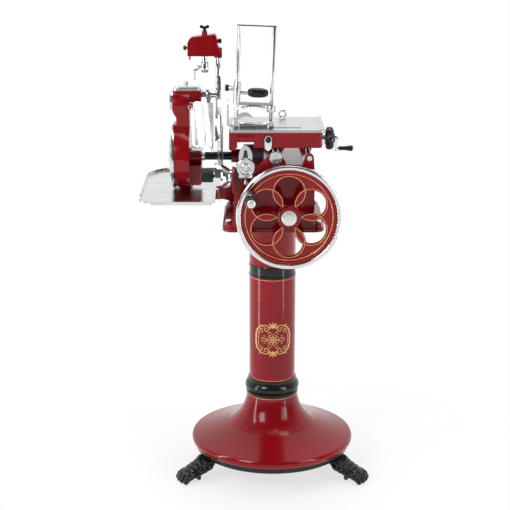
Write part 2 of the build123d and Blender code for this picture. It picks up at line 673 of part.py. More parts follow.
cap_depth = 9.0
hub_cap = hub_plane * Pos(0, 0, HUB_T / 2 - 3) * turned([
    (0, 0), (HUB_CAP_R, 0), (HUB_CAP_R, 4), (HUB_CAP_R - 3, 7), (HUB_CAP_R - 10, cap_depth),
    (0, cap_depth)])
hub_cap -= along_y(WHEEL_X, WHEEL_Y - HUB_T / 2, WHEEL_Y, WHEEL_Z, SHAFT_R)
keep("flywheel_rim", group([bright_rim, hub_cap]))

# Crank handle: shouldered pin fixed in the wheel, turned grip running on it.
crank_at = hub_plane * crank_turn * Pos(CRANK_R, 0, 0)
grip_z0 = pad_h + GRIP_NECK
grip_z1 = grip_z0 + GRIP_LENGTH
keep("crank_pin", crank_at * turned([
    (0, -step), (PIN_R - 1, -step), (PIN_R - 1, pad_h), (PIN_R + 5, pad_h),
    (PIN_R + 5, grip_z0 - 4), (PIN_R + 2, grip_z0 - GAP), (PIN_R, grip_z0 - GAP),
    (PIN_R, grip_z1 + GAP), (GRIP_R - 4, grip_z1 + GAP), (GRIP_R - 4.5, grip_z1 + 4),
    (GRIP_R - 9, grip_z1 + 7), (0, grip_z1 + 7)]))
bore = PIN_R + RUN_FIT
keep("crank_grip", crank_at * turned([
    (bore, grip_z0), (GRIP_R - 5, grip_z0), (GRIP_R - 3, grip_z0 + 4),
    (GRIP_R - 4, grip_z0 + GRIP_LENGTH * 0.2), (GRIP_R - 1, grip_z0 + GRIP_LENGTH * 0.5),
    (GRIP_R, grip_z0 + GRIP_LENGTH * 0.78), (GRIP_R - 1.5, grip_z1 - 6), (GRIP_R - 5, grip_z1),
    (bore, grip_z1)]))

# ------------------------------------------------- front of the machine body
# Tripping claw and slice-thickness dial on one bracket.
DIAL_DROP = 4.0         # dial axis below the top of the casting
DIAL_Z = BODY_TOP_Z - DIAL_DROP
DIAL_R = 29.0
DIAL_T = 9.0
CLAW_CLEAR = 4.0        # claw tip below the feed screw that passes over it
CLAW_TOP_Z = SCREW_Z - SCREW_R - CLAW_CLEAR
CLAW_HALF = 21.0
bracket_y = -BODY_HALF_Y
bracket_t = 7.0
claw_x = (CHANNEL_X0 + CHANNEL_X1) / 2
claw_face = make_face([
    Line((claw_x - CLAW_HALF, 0, DIAL_Z - 34), (claw_x - CLAW_HALF, 0, CLAW_TOP_Z - 34)),
    ThreePointArc((claw_x - CLAW_HALF, 0, CLAW_TOP_Z - 34),
                  (claw_x - CLAW_HALF * 0.66, 0, CLAW_TOP_Z - 12), (claw_x, 0, CLAW_TOP_Z)),
    ThreePointArc((claw_x, 0, CLAW_TOP_Z), (claw_x + CLAW_HALF * 0.66, 0, CLAW_TOP_Z - 12),
                  (claw_x + CLAW_HALF, 0, CLAW_TOP_Z - 34)),
    Line((claw_x + CLAW_HALF, 0, CLAW_TOP_Z - 34), (claw_x + CLAW_HALF, 0, DIAL_Z - 34)),
    Line((claw_x + CLAW_HALF, 0, DIAL_Z - 34), (claw_x - CLAW_HALF, 0, DIAL_Z - 34))])
claw = Pos(0, bracket_y, 0) * extrude(claw_face, bracket_t, dir=(0, -1, 0))
claw -= slab_xz([(claw_x - 9, CLAW_TOP_Z - 42), (claw_x + 9, CLAW_TOP_Z - 42),
                 (claw_x + 4, CLAW_TOP_Z - 16), (claw_x - 4, CLAW_TOP_Z - 16)],
                bracket_y - bracket_t - 1, bracket_y + 1)
dial_pin_r = 5.0
dial_back = bracket_y - bracket_t - GAP
dial_plane = facing_front(claw_x, dial_back, DIAL_Z)
dial = dial_plane * turned([
    (dial_pin_r + RUN_FIT, 0), (DIAL_R, 0), (DIAL_R, DIAL_T - 2), (DIAL_R - 2, DIAL_T),
    (DIAL_R - 6, DIAL_T), (DIAL_R - 7, DIAL_T - 2), (14, DIAL_T - 2), (12, DIAL_T + 3),
    (dial_pin_r + RUN_FIT, DIAL_T + 3)])
stem_z1 = DIAL_Z - DIAL_R + 3
stem_y = dial_back - DIAL_T / 2
dial += along_z(claw_x, stem_y, stem_z1 - 14, stem_z1, 3.4)
dial += Pos(claw_x, stem_y, stem_z1 - 19) * turned([
    (0, -9), (4.5, -9), (7, -4), (7, 3), (4.5, 7), (0, 7)])
keep("thickness_dial", dial)
claw += dial_plane * turned([
    (0, -bracket_t - GAP), (dial_pin_r, -bracket_t - GAP), (dial_pin_r, DIAL_T + 3 + GAP),
    (dial_pin_r + 4, DIAL_T + 3 + GAP), (dial_pin_r + 2, DIAL_T + 7), (0, DIAL_T + 7)])
keep("tripping_claw", claw)

# Bright bell housing with the knurled adjusting knob, in front of the blade.
BELL_X0 = -184.0
BELL_R = 42.0
BELL_Y = -190.0
BELL_DROP = 26.0        # bell axis below the dial axis
BELL_HZ = DIAL_Z - BELL_DROP
KNURL_R = 20.0
KNURL_L = 38.0
bell_x1 = -BODY_HALF_X - 1
bell_len = bell_x1 - BELL_X0
bell_at = to_minus_x(bell_x1, BELL_Y, BELL_HZ)
knob_pin_r = 6.0
bell = bell_at * turned([
    (knob_pin_r + RUN_FIT, 0), (20, 0), (22, bell_len * 0.15), (30, bell_len * 0.35),
    (BELL_R - 3, bell_len * 0.6), (BELL_R, bell_len * 0.8), (BELL_R, bell_len),
    (BELL_R - 4, bell_len), (BELL_R - 5, bell_len * 0.75), (BELL_R - 14, bell_len * 0.5),
    (14, bell_len * 0.42), (13, bell_len * 0.9), (knob_pin_r + RUN_FIT, bell_len * 0.9)])
# Cheek of the casting that carries the bell housing.
cheek_x1 = bell_x1 + 7
body += slab_yz([(BELL_Y - 22, BELL_HZ - 16), (BELL_Y - 22, BELL_HZ + 14),
                 (BELL_Y - 6, BELL_HZ + 24), (-BODY_HALF_Y + 20, BELL_HZ + 24),
                 (-BODY_HALF_Y + 44, BELL_HZ - 60), (BELL_Y - 8, BELL_HZ - 44)],
                bell_x1, cheek_x1)
body += slab_yz([(-BODY_HALF_Y, BELL_HZ + 22), (-BODY_HALF_Y + 20, BELL_HZ + 22),
                 (-BODY_HALF_Y + 40, BELL_HZ - 60), (-BODY_HALF_Y, BELL_HZ - 60)],
                bell_x1, bell_x1 + 22)
body -= along_x(bell_x1 - 1, cheek_x1 + 1, BELL_Y, BELL_HZ, knob_pin_r + RUN_FIT)
knob_x = BELL_X0 - 5
knurled = to_minus_x(knob_x, BELL_Y, BELL_HZ) * turned([
    (0, 0), (KNURL_R - 2, 0), (KNURL_R, 2), (KNURL_R, KNURL_L - 3), (KNURL_R - 3, KNURL_L),
    (0, KNURL_L)])
knurled += along_x(knob_x, cheek_x1 + GAP, BELL_Y, BELL_HZ, knob_pin_r)
knurled += along_x(cheek_x1 + GAP, cheek_x1 + 4, BELL_Y, BELL_HZ, knob_pin_r + 4)
keep("adjusting_knob", knurled)

body_bolts = []
for side in (-1, 1):
    for end in (-1, 1):
        x = side * (BODY_HALF_X + BODY_FLANGE_REACH / 2)
        y = end * (BODY_HALF_Y - 30)
        top = plate_top + BODY_FLANGE_T
        body_bolts.append(Pos(x, y, top) * Rot(180, 0, 0)
                          * hex_bolt(BODY_BOLT_R, BODY_FLANGE_T + PLATE_T, 10, 7))
for bolt in body_bolts:
    body -= bolt
keep("machine_body", body)
keep("machine_plate", machine_plate)

# ------------------------------------------------------------------ carriage
carriage = plate_z(CAR_X0, CAR_X1, CAR_Y0, CAR_Y1, CAR_Z0, CAR_Z1, 10)
carriage -= block(CAR_X0 + CAR_WALL, CAR_X1 - CAR_WALL, CAR_Y0 + CAR_WALL, CAR_Y1 - CAR_WALL,
                  CAR_Z0 - 1, CAR_Z1 - CAR_WALL)
apron_x1 = CAR_X0 + 22
carriage += plate_y(CAR_X0, apron_x1, CAR_Y0, CAR_Y0 + CAR_WALL, APRON_Z, CAR_Z1 - 12, 5)
carriage += plate_y(CAR_X0, apron_x1, CAR_Y1 - CAR_WALL, CAR_Y1, APRON_Z, CAR_Z1 - 12, 5)
carriage -= block(CHANNEL_X0, CHANNEL_X1, CAR_Y0 - 1, CAR_Y1 + 1, CAR_Z0 - 1, CAR_Z1 - CAR_WALL)

# Runners under the carriage: a long sleeve on the main rod, a shoe on the other.
sleeve_half = BODY_HALF_Y - EAR_T - CAR_STROKE - CAR_SPARE
deck_z = CAR_Z1 - CAR_WALL


def runner(x, rod_r, wall, y0, y1):
    """Sleeve round a rod with its rib up to the underside of the deck."""
    tube = along_y(x, y0, y1, ROD_Z, rod_r + wall)
    rib = block(x - 5, x + 5, y0, y1, ROD_Z, deck_z + 1)
    bearing = tube + rib
    return bearing - along_y(x, y0 - 1, y1 + 1, ROD_Z, rod_r + RUN_FIT)


carriage += runner(ROD_X, ROD_R, 7, -sleeve_half, sleeve_half)
carriage += runner(SIDE_ROD_X, SIDE_ROD_R, 5, -sleeve_half / 2, sleeve_half / 2)

# Feed screw, journalled in both end walls of the carriage.
screw_bore = SCREW_R + RUN_FIT
for x0, x1 in ((CAR_X0, CAR_X0 + CAR_WALL + 6), (CAR_X1 - CAR_WALL - 6, CAR_X1)):
    carriage += along_x(x0 + 1, x1 - 1, SCREW_Y, SCREW_Z, SCREW_R + 7)
carriage -= along_x(CAR_X0 - 1, CAR_X1 + 1, SCREW_Y, SCREW_Z, screw_bore)
end_cap_t = 13.0
end_cap_x = CAR_X1 + end_cap_t
end_cap = along_x(CAR_X1, end_cap_x - 7, SCREW_Y, SCREW_Z, 24, screw_bore)
end_cap += along_x(end_cap_x - 7, end_cap_x, SCREW_Y, SCREW_Z, 19, screw_bore)
knob_x0 = end_cap_x + GAP
knob_x1 = knob_x0 + KNOB_T
knob = to_x(knob_x0, SCREW_Y, SCREW_Z) * turned([
    (SCREW_R, 0), (KNOB_R - 8, 0), (KNOB_R - 2, 4), (KNOB_R, 9), (KNOB_R, KNOB_T - 9),
    (KNOB_R - 2, KNOB_T - 4), (KNOB_R - 8, KNOB_T), (14, KNOB_T), (13, KNOB_T + 4),
    (SCREW_R, KNOB_T + 4)])
for i in range(KNOB_LOBES):
    away = math.radians(30 + i * 360 / KNOB_LOBES)
    knob -= along_x(knob_x0 - 1, knob_x1 + 1, SCREW_Y + (KNOB_R + 5) * math.cos(away),
                    SCREW_Z + (KNOB_R + 5) * math.sin(away), 10)
keep("feed_handwheel", knob)
arm_x0 = knob_x1 + 4
arm_x1 = arm_x0 + 7
screw = along_x(CAR_X0 + 2, arm_x1 + 4, SCREW_Y, SCREW_Z, SCREW_R)
screw += along_x(CAR_X0 + CAR_WALL + 6 + GAP, CAR_X0 + CAR_WALL + 10, SCREW_Y, SCREW_Z, SCREW_R + 4)
keep("feed_screw", screw)
low_z = SCREW_Z - FEED_CRANK_R
feed_arm = plate_x(arm_x0, arm_x1, SCREW_Y - 9, SCREW_Y + 9, low_z - 9, SCREW_Z + 11, 8.5)
feed_arm -= along_x(arm_x0 - 1, arm_x1 + 1, SCREW_Y, SCREW_Z, SCREW_R)
feed_pin_r = 4.0
feed_arm -= along_x(arm_x0 - 1, arm_x1 + 1, SCREW_Y, low_z, feed_pin_r)
feed_grip_l = 44.0
grip_x0 = arm_x1 + 6
grip_x1 = grip_x0 + feed_grip_l
feed_arm += to_x(0, SCREW_Y, low_z) * turned([
    (0, arm_x0), (feed_pin_r, arm_x0), (feed_pin_r, arm_x1), (8, arm_x1), (8, grip_x0 - 2),
    (6, grip_x0 - GAP), (feed_pin_r, grip_x0 - GAP), (feed_pin_r, grip_x1 + GAP),
    (6.5, grip_x1 + GAP), (5, grip_x1 + 3), (0, grip_x1 + 3)])
keep("feed_crank", feed_arm)
keep("feed_crank_grip", to_x(0, SCREW_Y, low_z) * turned([
    (feed_pin_r + RUN_FIT, grip_x0), (6, grip_x0), (7, grip_x0 + 8), (6.5, grip_x0 + 20),
    (8.5, grip_x1 - 10), (9.5, grip_x1 - 4), (8, grip_x1), (feed_pin_r + RUN_FIT, grip_x1)]))

# Stop lever on the front face of the carriage.
LEVER_X = -17.0
LEVER_W = 11.0
LEVER_TOP_Z = 1168.0
LEVER_LOW_Z = 1121.0
lever_z = 1156.0
lever_y1 = CAR_Y0 - GAP
lever_y0 = lever_y1 - 5
lever_face = make_face([
    ThreePointArc((LEVER_X - LEVER_W, 0, lever_z), (LEVER_X, 0, LEVER_TOP_Z),
                  (LEVER_X + LEVER_W, 0, lever_z)),
    Polyline((LEVER_X + LEVER_W, 0, lever_z), (LEVER_X + LEVER_W - 1, 0, LEVER_LOW_Z + 7),
             (LEVER_X + 3, 0, LEVER_LOW_Z), (LEVER_X - 4, 0, LEVER_LOW_Z),
             (LEVER_X - LEVER_W, 0, LEVER_LOW_Z + 8), (LEVER_X - LEVER_W, 0, lever_z))])
lever = Pos(0, lever_y1, 0) * extrude(lever_face, lever_y1 - lever_y0, dir=(0, -1, 0))
lever -= along_y(LEVER_X, lever_y0 - 1, lever_y1 + 1, lever_z, 4 + RUN_FIT)
keep("stop_lever", lever)
pin_face = facing_front(LEVER_X, CAR_Y0, lever_z)
keep("stop_lever_knob", pin_face * turned([
    (0, -5), (4, -5), (4, 5 + 2 * GAP), (9, 5 + 2 * GAP), (9.5, 10), (8, 14), (4, 16), (0, 16)]))
carriage -= along_y(LEVER_X, CAR_Y0 - 1, CAR_Y0 + 5, lever_z, 4)

# --------------------------------------------------------------- meat table
table_z = CAR_Z1 + TABLE_T
table = plate_z(CAR_X0 + 1, TABLE_X1, CAR_Y0, TABLE_Y1, CAR_Z1, table_z, 12)
table += plate_z(TABLE_X1 - 14, TABLE_X1, CAR_Y0 + 6, TABLE_Y1 - 6, table_z - 1,
                 table_z + TABLE_LIP, 5)
slot_x0 = CLAMP_X + 4
slot_x1 = slot_x0 + FEED_TRAVEL + 44
slot = plate_z(slot_x0, slot_x1, SCREW_Y - SLOT_W / 2, SCREW_Y + SLOT_W / 2, CAR_Z1 - CAR_WALL - 1,
               table_z + 5, SLOT_W / 2 - 0.2)
table -= slot
carriage -= slot
table_screws = []
for x in (CAR_X0 + 30, CAR_X1 - 30):
    for y in (CAR_Y0 + 18, CAR_Y1 - 18):
        table_screws.append(along_z(x, y, table_z - 3, table_z, 6))
        table_screws[-1] += along_z(x, y, CAR_Z1 - CAR_WALL, table_z - 3, 3)
for screw in table_screws:
    table -= screw
    carriage -= screw
keep("carriage", carriage)
keep("meat_table", table)

# Fence plate that guides the cut face, hooked over the left edge of the table.
FENCE_X = -147.0
FENCE_T = 3.0
FENCE_TOP_Z = 1264.0
fence_y0 = -78.0
fence_y1 = 86.0
fence_face = make_face([
    Polyline((0, fence_y1, table_z), (0, fence_y0, table_z), (0, fence_y0, FENCE_TOP_Z - 30)),
    ThreePointArc((0, fence_y0, FENCE_TOP_Z - 30), (0, fence_y0 + 14, FENCE_TOP_Z - 7),
                  (0, fence_y0 + 44, FENCE_TOP_Z)),
    Polyline((0, fence_y0 + 44, FENCE_TOP_Z), (0, fence_y1 - 20, FENCE_TOP_Z - 14),
             (0, fence_y1, FENCE_TOP_Z - 44), (0, fence_y1, table_z))])
fence = Pos(FENCE_X, 0, 0) * extrude(fence_face, FENCE_T, dir=(1, 0, 0))
fence += plate_z(FENCE_X, CAR_X0 + 26, fence_y0 + 10, fence_y1 - 10, table_z, table_z + FENCE_T, 3)
keep("fence_plate", fence)

# ---------------------------------------------------------------- meat clamp
# Saddle: a block at each end joined by two rods, with the nut below the slot.
half_span = POST_SPACING / 2
saddle_z0 = table_z + GAP
saddle_z1 = saddle_z0 + SADDLE_H
left_x = CLAMP_X - half_span
right_x = CLAMP_X + half_span
block_half = 11.0


def saddle_block(x):
    return plate_z(x - block_half, x + block_half, CLAMP_Y - SADDLE_W / 2, CLAMP_Y + SADDLE_W / 2,
                   saddle_z0, saddle_z1, 5)


rod_z = (saddle_z0 + saddle_z1) / 2
bar_r = 4.5
bar_gap = 9.0
bars = [along_x(left_x - block_half, right_x + block_half, CLAMP_Y + s * bar_gap, rod_z, bar_r)
        for s in (-1, 1)]


def post_line(x):
    """Location at the foot of a post, Z along the leaning post."""
    return Pos(x, CLAMP_Y, saddle_z1) * Rot(0, CLAMP_LEAN, 0)


post_len = (POST_TOP_Z - saddle_z1) / math.cos(math.radians(CLAMP_LEAN))
posts = [post_line(x) * Pos(0, 0, (post_len - 12) / 2) * Cylinder(POST_R, post_len + 12)
         for x in (left_x, right_x)]
saddle = saddle_block(left_x) + saddle_block(right_x)
nut_x0 = slot_x0 + 6
nut_x1 = nut_x0 + 26
bridge = plate_z(left_x, right_x, CLAMP_Y - 6, CLAMP_Y + 6, saddle_z0, saddle_z0 + 5, 3)
saddle += bridge
nut = plate_z(nut_x0, nut_x1, SCREW_Y - SLOT_W / 2 + 1, SCREW_Y + SLOT_W / 2 - 1, SCREW_Z,
              saddle_z0, 4)
nut += plate_z(nut_x0, nut_x1, SCREW_Y - 13, SCREW_Y + 13, SCREW_Z - 11, SCREW_Z + 11, 4)
nut -= along_x(nut_x0 - 1, nut_x1 + 1, SCREW_Y, SCREW_Z, SCREW_R + RUN_FIT)
for bar in bars:
    saddle -= bar
for post in posts:
    saddle -= post
    bars = [bar - post for bar in bars]
# Curved arm behind the fence side, pinned to the left saddle block.
hook_face = make_face([
    ThreePointArc((left_x - 6, 0, saddle_z1), (left_x + 6, 0, saddle_z1 + 22), (left_x + 40, 0, saddle_z1 + 27)),
    Line((left_x + 40, 0, saddle_z1 + 27), (left_x + 56, 0, saddle_z1 + 12)),
    Line((left_x + 56, 0, saddle_z1 + 12), (left_x + 50, 0, saddle_z1 + 11)),
    ThreePointArc((left_x + 50, 0, saddle_z1 + 11), (left_x + 20, 0, saddle_z1 + 14), (left_x + 4, 0, saddle_z1)),
    Line((left_x + 4, 0, saddle_z1), (left_x - 6, 0, saddle_z1))])
hook = Pos(0, CLAMP_Y - 7, 0) * extrude(hook_face, 6, dir=(0, -1, 0))
hook -= posts[0]
keep("clamp_saddle", group([saddle + hook, nut]))

tie_at = post_line(CLAMP_X)
top_bar = tie_at * Pos(0, 0, post_len + 2) * Box(POST_SPACING + 2 * POST_R + 2, 2 * POST_R + 3, 4)
for post in posts:
    top_bar -= post
keep("clamp_frame", group(posts + bars + [top_bar]))

# Yoke: sleeves that run on the posts, beam, grip and the toothed press plate.
yoke_at = post_line(CLAMP_X)
sleeve_r = POST_R + 5
left_z0 = 52.0
left_z1 = 124.0
right_z0 = 32.0
right_z1 = 50.0
yoke = Pos(-half_span, 0, 0) * along_z(0, 0, left_z0, left_z1, sleeve_r)
yoke += Pos(half_span, 0, 0) * along_z(0, 0, right_z0, right_z1, sleeve_r + 3)
yoke += block(-half_span, half_span, -5, 5, left_z0 - 2, left_z0 + 8)
yoke += block(half_span - 8, half_span, -5, 5, right_z0 + 4, left_z0 + 8)
yoke += along_x(-half_span - 26, -half_span, 0, left_z1 - 22, 8)
yoke += along_x(-half_span, -half_span + 34, 0, left_z1 - 34, 7)
for side in (-1, 1):
    yoke -= Pos(side * half_span, 0, 0) * along_z(0, 0, 0, 200, POST_R + RUN_FIT)
grip_mid = left_z1 - 34
grip_x = -half_span + 34
keep("clamp_grip", yoke_at * to_x(grip_x, 0, grip_mid) * turned([
    (0, 0), (9, 0), (YOKE_GRIP_R - 2, 6), (YOKE_GRIP_R, 18), (YOKE_GRIP_R, YOKE_GRIP_L - 20),
    (YOKE_GRIP_R - 3, YOKE_GRIP_L - 7), (7, YOKE_GRIP_L), (0, YOKE_GRIP_L)]))
tightener = yoke_at * to_minus_x(-half_span - 26 - GAP, 0, left_z1 - 22) * turned([
    (0, 0), (9, 0), (10.5, 2), (10.5, 9), (8, 12), (0, 12)])
tightener += yoke_at * along_x(-half_span - 27, -half_span - POST_R - 2, 0, left_z1 - 22, 3.5)
yoke -= along_x(-half_span - 28, -half_span - POST_R - 2, 0, left_z1 - 22, 3.5 + RUN_FIT)
keep("clamp_yoke", yoke_at * yoke)
keep("clamp_tightener", tightener)

# Press plate: curved sheet with a row of gripping teeth along its lower edge.
press_z1 = left_z0 - 2
press_face = make_face([
    ThreePointArc((-half_span + 14, 0, press_z1 - 6), (-4, 0, press_z1), (half_span - 18, 0, press_z1 - 4)),
    Line((half_span - 18, 0, press_z1 - 4), (half_span - 18, 0, press_z1 - 7)),
    ThreePointArc((half_span - 18, 0, press_z1 - 7), (-4, 0, press_z1 - 3), (-half_span + 14, 0, press_z1 - 9)),
    Line((-half_span + 14, 0, press_z1 - 9), (-half_span + 14, 0, press_z1 - 6))])
press = Pos(0, 46, 0) * extrude(press_face, 60, dir=(0, -1, 0))
press += block(-6, 6, -5, 5, press_z1 - 4, press_z1)
press &= block(-half_span, half_span, -60, 60, 0, press_z1)
tooth_count = 7
for i in range(tooth_count):
    x = -half_span + 22 + i * (POST_SPACING - 44) / (tooth_count - 1)
    root = press_z1 - 3.5 - 6.5 * (x / (half_span - 16)) ** 2
    press += Pos(x, 38, root - 6) * Rot(180, 0, 0) * Cone(2.6, 0.5, 15)
keep("press_plate", yoke_at * press)

# Ring pull at the rear of the table.
RING_X = 32.0
RING_Y = 80.0
ring_torus = Pos(RING_X, RING_Y, table_z + 17) * Rot(90, 0, 0) * Torus(11, 3.5)
ring_torus += along_z(RING_X, RING_Y, table_z, table_z + 7, 5)
ring_torus += along_z(RING_X, RING_Y, table_z, table_z + 3, 12)
keep("table_fittings", group(table_screws + [ring_torus, end_cap]))

# --------------------------------------------------------------- gear column
ARM_Y0 = 122.0
ARM_Y1 = 168.0
head_z = COL_TOP_Z - COL_HEAD_R
column_body = along_x(COL_X0, COL_X1, SPINDLE_Y, head_z, COL_HEAD_R)
column_body += along_x(COL_X0, COL_X1, SPINDLE_Y, SPINDLE_Z, COL_FOOT_R)
waist_z = (head_z + SPINDLE_Z) / 2 + 18
column_body += slab_yz([
    (SPINDLE_Y - COL_FOOT_R * 0.86, SPINDLE_Z + COL_FOOT_R * 0.5),
    (SPINDLE_Y - COL_WAIST_R, waist_z), (SPINDLE_Y - COL_HEAD_R * 0.97, head_z),
    (SPINDLE_Y + COL_HEAD_R * 0.97, head_z), (SPINDLE_Y + COL_WAIST_R, waist_z),
    (SPINDLE_Y + COL_FOOT_R * 0.86, SPINDLE_Z + COL_FOOT_R * 0.5)], COL_X0, COL_X1)
# The waist is hollowed on the outer face between the two covers.
waist_cut = 11.0
column_body -= slab_xz([
    (COL_X0 - 5, head_z - 8), (COL_X0 + waist_cut, head_z - 38),
    (COL_X0 + waist_cut, SPINDLE_Z + LOWER_COVER_R + 4), (COL_X0 - 5, SPINDLE_Z + LOWER_COVER_R + 4)],
    SPINDLE_Y - 200, SPINDLE_Y + 200)
# Head block reaching towards the blade, and the gear case at the spindle.
column_body += plate_y(COL_X1 - 30, COL_X1 + 38, SPINDLE_Y - 32, SPINDLE_Y + 40, TIE_Z - 22,
                       TIE_Z + 15, 7)
case_x1 = COL_X1 + 37
column_body += along_x(COL_X1 - 1, case_x1, SPINDLE_Y, SPINDLE_Z, 27)
column_body += plate_y(COL_X1 - 20, case_x1, SPINDLE_Y - 52, SPINDLE_Y + 40, SPINDLE_Z - 88,
                       SPINDLE_Z - 24, 8)
# Pillar down to the arm of the machine body.
column_body += slab_yz([
    (SPINDLE_Y + COL_FOOT_R * 0.4, SPINDLE_Z - COL_FOOT_R * 0.6), (ARM_Y0, ARM_Z1 + 44),
    (ARM_Y0, ARM_Z1), (ARM_Y1, ARM_Z1), (ARM_Y1, ARM_Z1 + 60),
    (SPINDLE_Y + COL_FOOT_R * 0.96, SPINDLE_Z)], COL_X0 + 6, COL_X1)
left_bush_r = SPINDLE_R + BUSH_WALL
column_body -= along_x(COL_X0 + 12, case_x1 + 1, SPINDLE_Y, SPINDLE_Z, left_bush_r)
bush_x1 = case_x1 + 9
bush_column = along_x(COL_X0 + 12, bush_x1, SPINDLE_Y, SPINDLE_Z, left_bush_r,
                      SPINDLE_R + RUN_FIT)
bush_column += along_x(case_x1, bush_x1, SPINDLE_Y, SPINDLE_Z, SLEEVE_R + 4, SPINDLE_R + RUN_FIT)
keep("shaft_bushes", group([bush_left, bush_mid, bush_front, bush_rear, bush_spindle,
                            bush_column, idler_pin]))
tie_hole_x = COL_X1 + 4
column_body -= along_x(tie_hole_x, COL_X1 + 39, SPINDLE_Y, TIE_Z, TIE_R)
lid_hole = along_z(COL_X1 - 12, SPINDLE_Y, TIE_Z, COL_TOP_Z + 5, 4)
column_body -= lid_hole

# Arm bolted to the left wall of the machine body, below and behind the blade.
arm_face = make_face([
    Polyline((-BODY_HALF_X, 0, ARM_Z1 + 22), (-BODY_HALF_X - 12, 0, ARM_Z1 + 22),
             (-BODY_HALF_X - 12, 0, ARM_Z1 + 10)),
    ThreePointArc((-BODY_HALF_X - 12, 0, ARM_Z1 + 10), (-BODY_HALF_X - 16, 0, ARM_Z1 + 3),
                  (-BODY_HALF_X - 26, 0, ARM_Z1)),
    Polyline((-BODY_HALF_X - 26, 0, ARM_Z1), (COL_X0 + 2, 0, ARM_Z1), (COL_X0 + 2, 0, ARM_Z0 + 14)),
    ThreePointArc((COL_X0 + 2, 0, ARM_Z0 + 14), (COL_X0 + 60, 0, ARM_Z0 + 2),
                  (-BODY_HALF_X - 40, 0, ARM_Z0)),
    ThreePointArc((-BODY_HALF_X - 40, 0, ARM_Z0), (-BODY_HALF_X - 20, 0, ARM_Z0 - 5),
                  (-BODY_HALF_X - 12, 0, ARM_Z0 - 8)),
    Polyline((-BODY_HALF_X - 12, 0, ARM_Z0 - 8), (-BODY_HALF_X, 0, ARM_Z0 - 8),
             (-BODY_HALF_X, 0, ARM_Z1 + 22))])
arm = Pos(0, ARM_Y1, 0) * extrude(arm_face, ARM_Y1 - ARM_Y0, dir=(0, -1, 0))
arm_bolts = []
for x in (COL_X0 + 20, COL_X1 - 14):
    arm_bolts.append(Pos(x, (ARM_Y0 + ARM_Y1) / 2, ARM_Z0 + 5)
                     * hex_bolt(BODY_BOLT_R, ARM_Z1 - ARM_Z0 + 18, 10, 7))
for bolt in arm_bolts:
    arm -= bolt
    column_body -= bolt

# Covers on the outer face.
upper_cover_z = head_z + 12
upper_cover = to_minus_x(COL_X0, SPINDLE_Y, upper_cover_z) * turned([
    (0, 0), (UPPER_COVER_R, 0), (UPPER_COVER_R, COVER_T - 3), (UPPER_COVER_R - 3, COVER_T),
    (0, COVER_T)])
cover_screws = []
cover_pitch = LOWER_COVER_R - 10
for i in range(6):
    away = math.radians(i * 60 + 30)
    at = to_minus_x(COL_X0 + 4, SPINDLE_Y + cover_pitch * math.cos(away),
                    SPINDLE_Z + cover_pitch * math.sin(away))
    cover_screws.append(at * turned([(0, -6), (3, -6), (3, COVER_T - 4), (5.5, COVER_T - 4),
                                     (5.5, COVER_T), (4, COVER_T + 2), (0, COVER_T + 2)]))
lower_cover = to_minus_x(COL_X0 + 4, SPINDLE_Y, SPINDLE_Z) * turned([
    (0, 0), (LOWER_COVER_R, 0), (LOWER_COVER_R, COVER_T - 4), (LOWER_COVER_R - 3, COVER_T - 1),
    (LOWER_COVER_R - 24, COVER_T - 1), (LOWER_COVER_R - 34, COVER_T + 4), (24, COVER_T + 4),
    (20, COVER_T + 9), (0, COVER_T + 9)])
column_body -= along_x(COL_X0 - 1, COL_X0 + 4, SPINDLE_Y, SPINDLE_Z, LOWER_COVER_R)
for screw in cover_screws:
    lower_cover -= screw
    column_body -= screw
keep("column_covers", group([upper_cover, lower_cover]))
keep("machine_bolts", group(body_bolts + arm_bolts + cover_screws))

# Bright oval lid with its knob on top of the column.
lid_x0 = COL_X0 + 1
lid_x1 = COL_X1 + 36
column_body += plate_z(lid_x0, lid_x1, SPINDLE_Y - 30, SPINDLE_Y + 30, COL_TOP_Z - 14, COL_TOP_Z, 12)
column_body -= along_x(tie_hole_x, COL_X1 + 39, SPINDLE_Y, TIE_Z, TIE_R)
column_body -= lid_hole
lid = plate_z(lid_x0 - 1, lid_x1 + 1, SPINDLE_Y - 31, SPINDLE_Y + 31, COL_TOP_Z, COL_TOP_Z + 7, 14)
lid += plate_z(lid_x0 + 5, lid_x1 - 5, SPINDLE_Y - 25, SPINDLE_Y + 25, COL_TOP_Z + 7,
               COL_TOP_Z + LID_H, 12)
lid -= along_z(COL_X1 - 12, SPINDLE_Y, COL_TOP_Z - 1, COL_TOP_Z + LID_H + 1, 4 + RUN_FIT)
keep("column_lid", lid)
keep("lid_knob", Pos(COL_X1 - 12, SPINDLE_Y, COL_TOP_Z + LID_H + GAP) * turned([
    (0, -LID_H - 13), (4 - RUN_FIT, -LID_H - 13), (4 - RUN_FIT, 0), (6, 0), (5, 4), (7.5, 8),
    (7.5, 13), (5, 16), (0, 16)]))

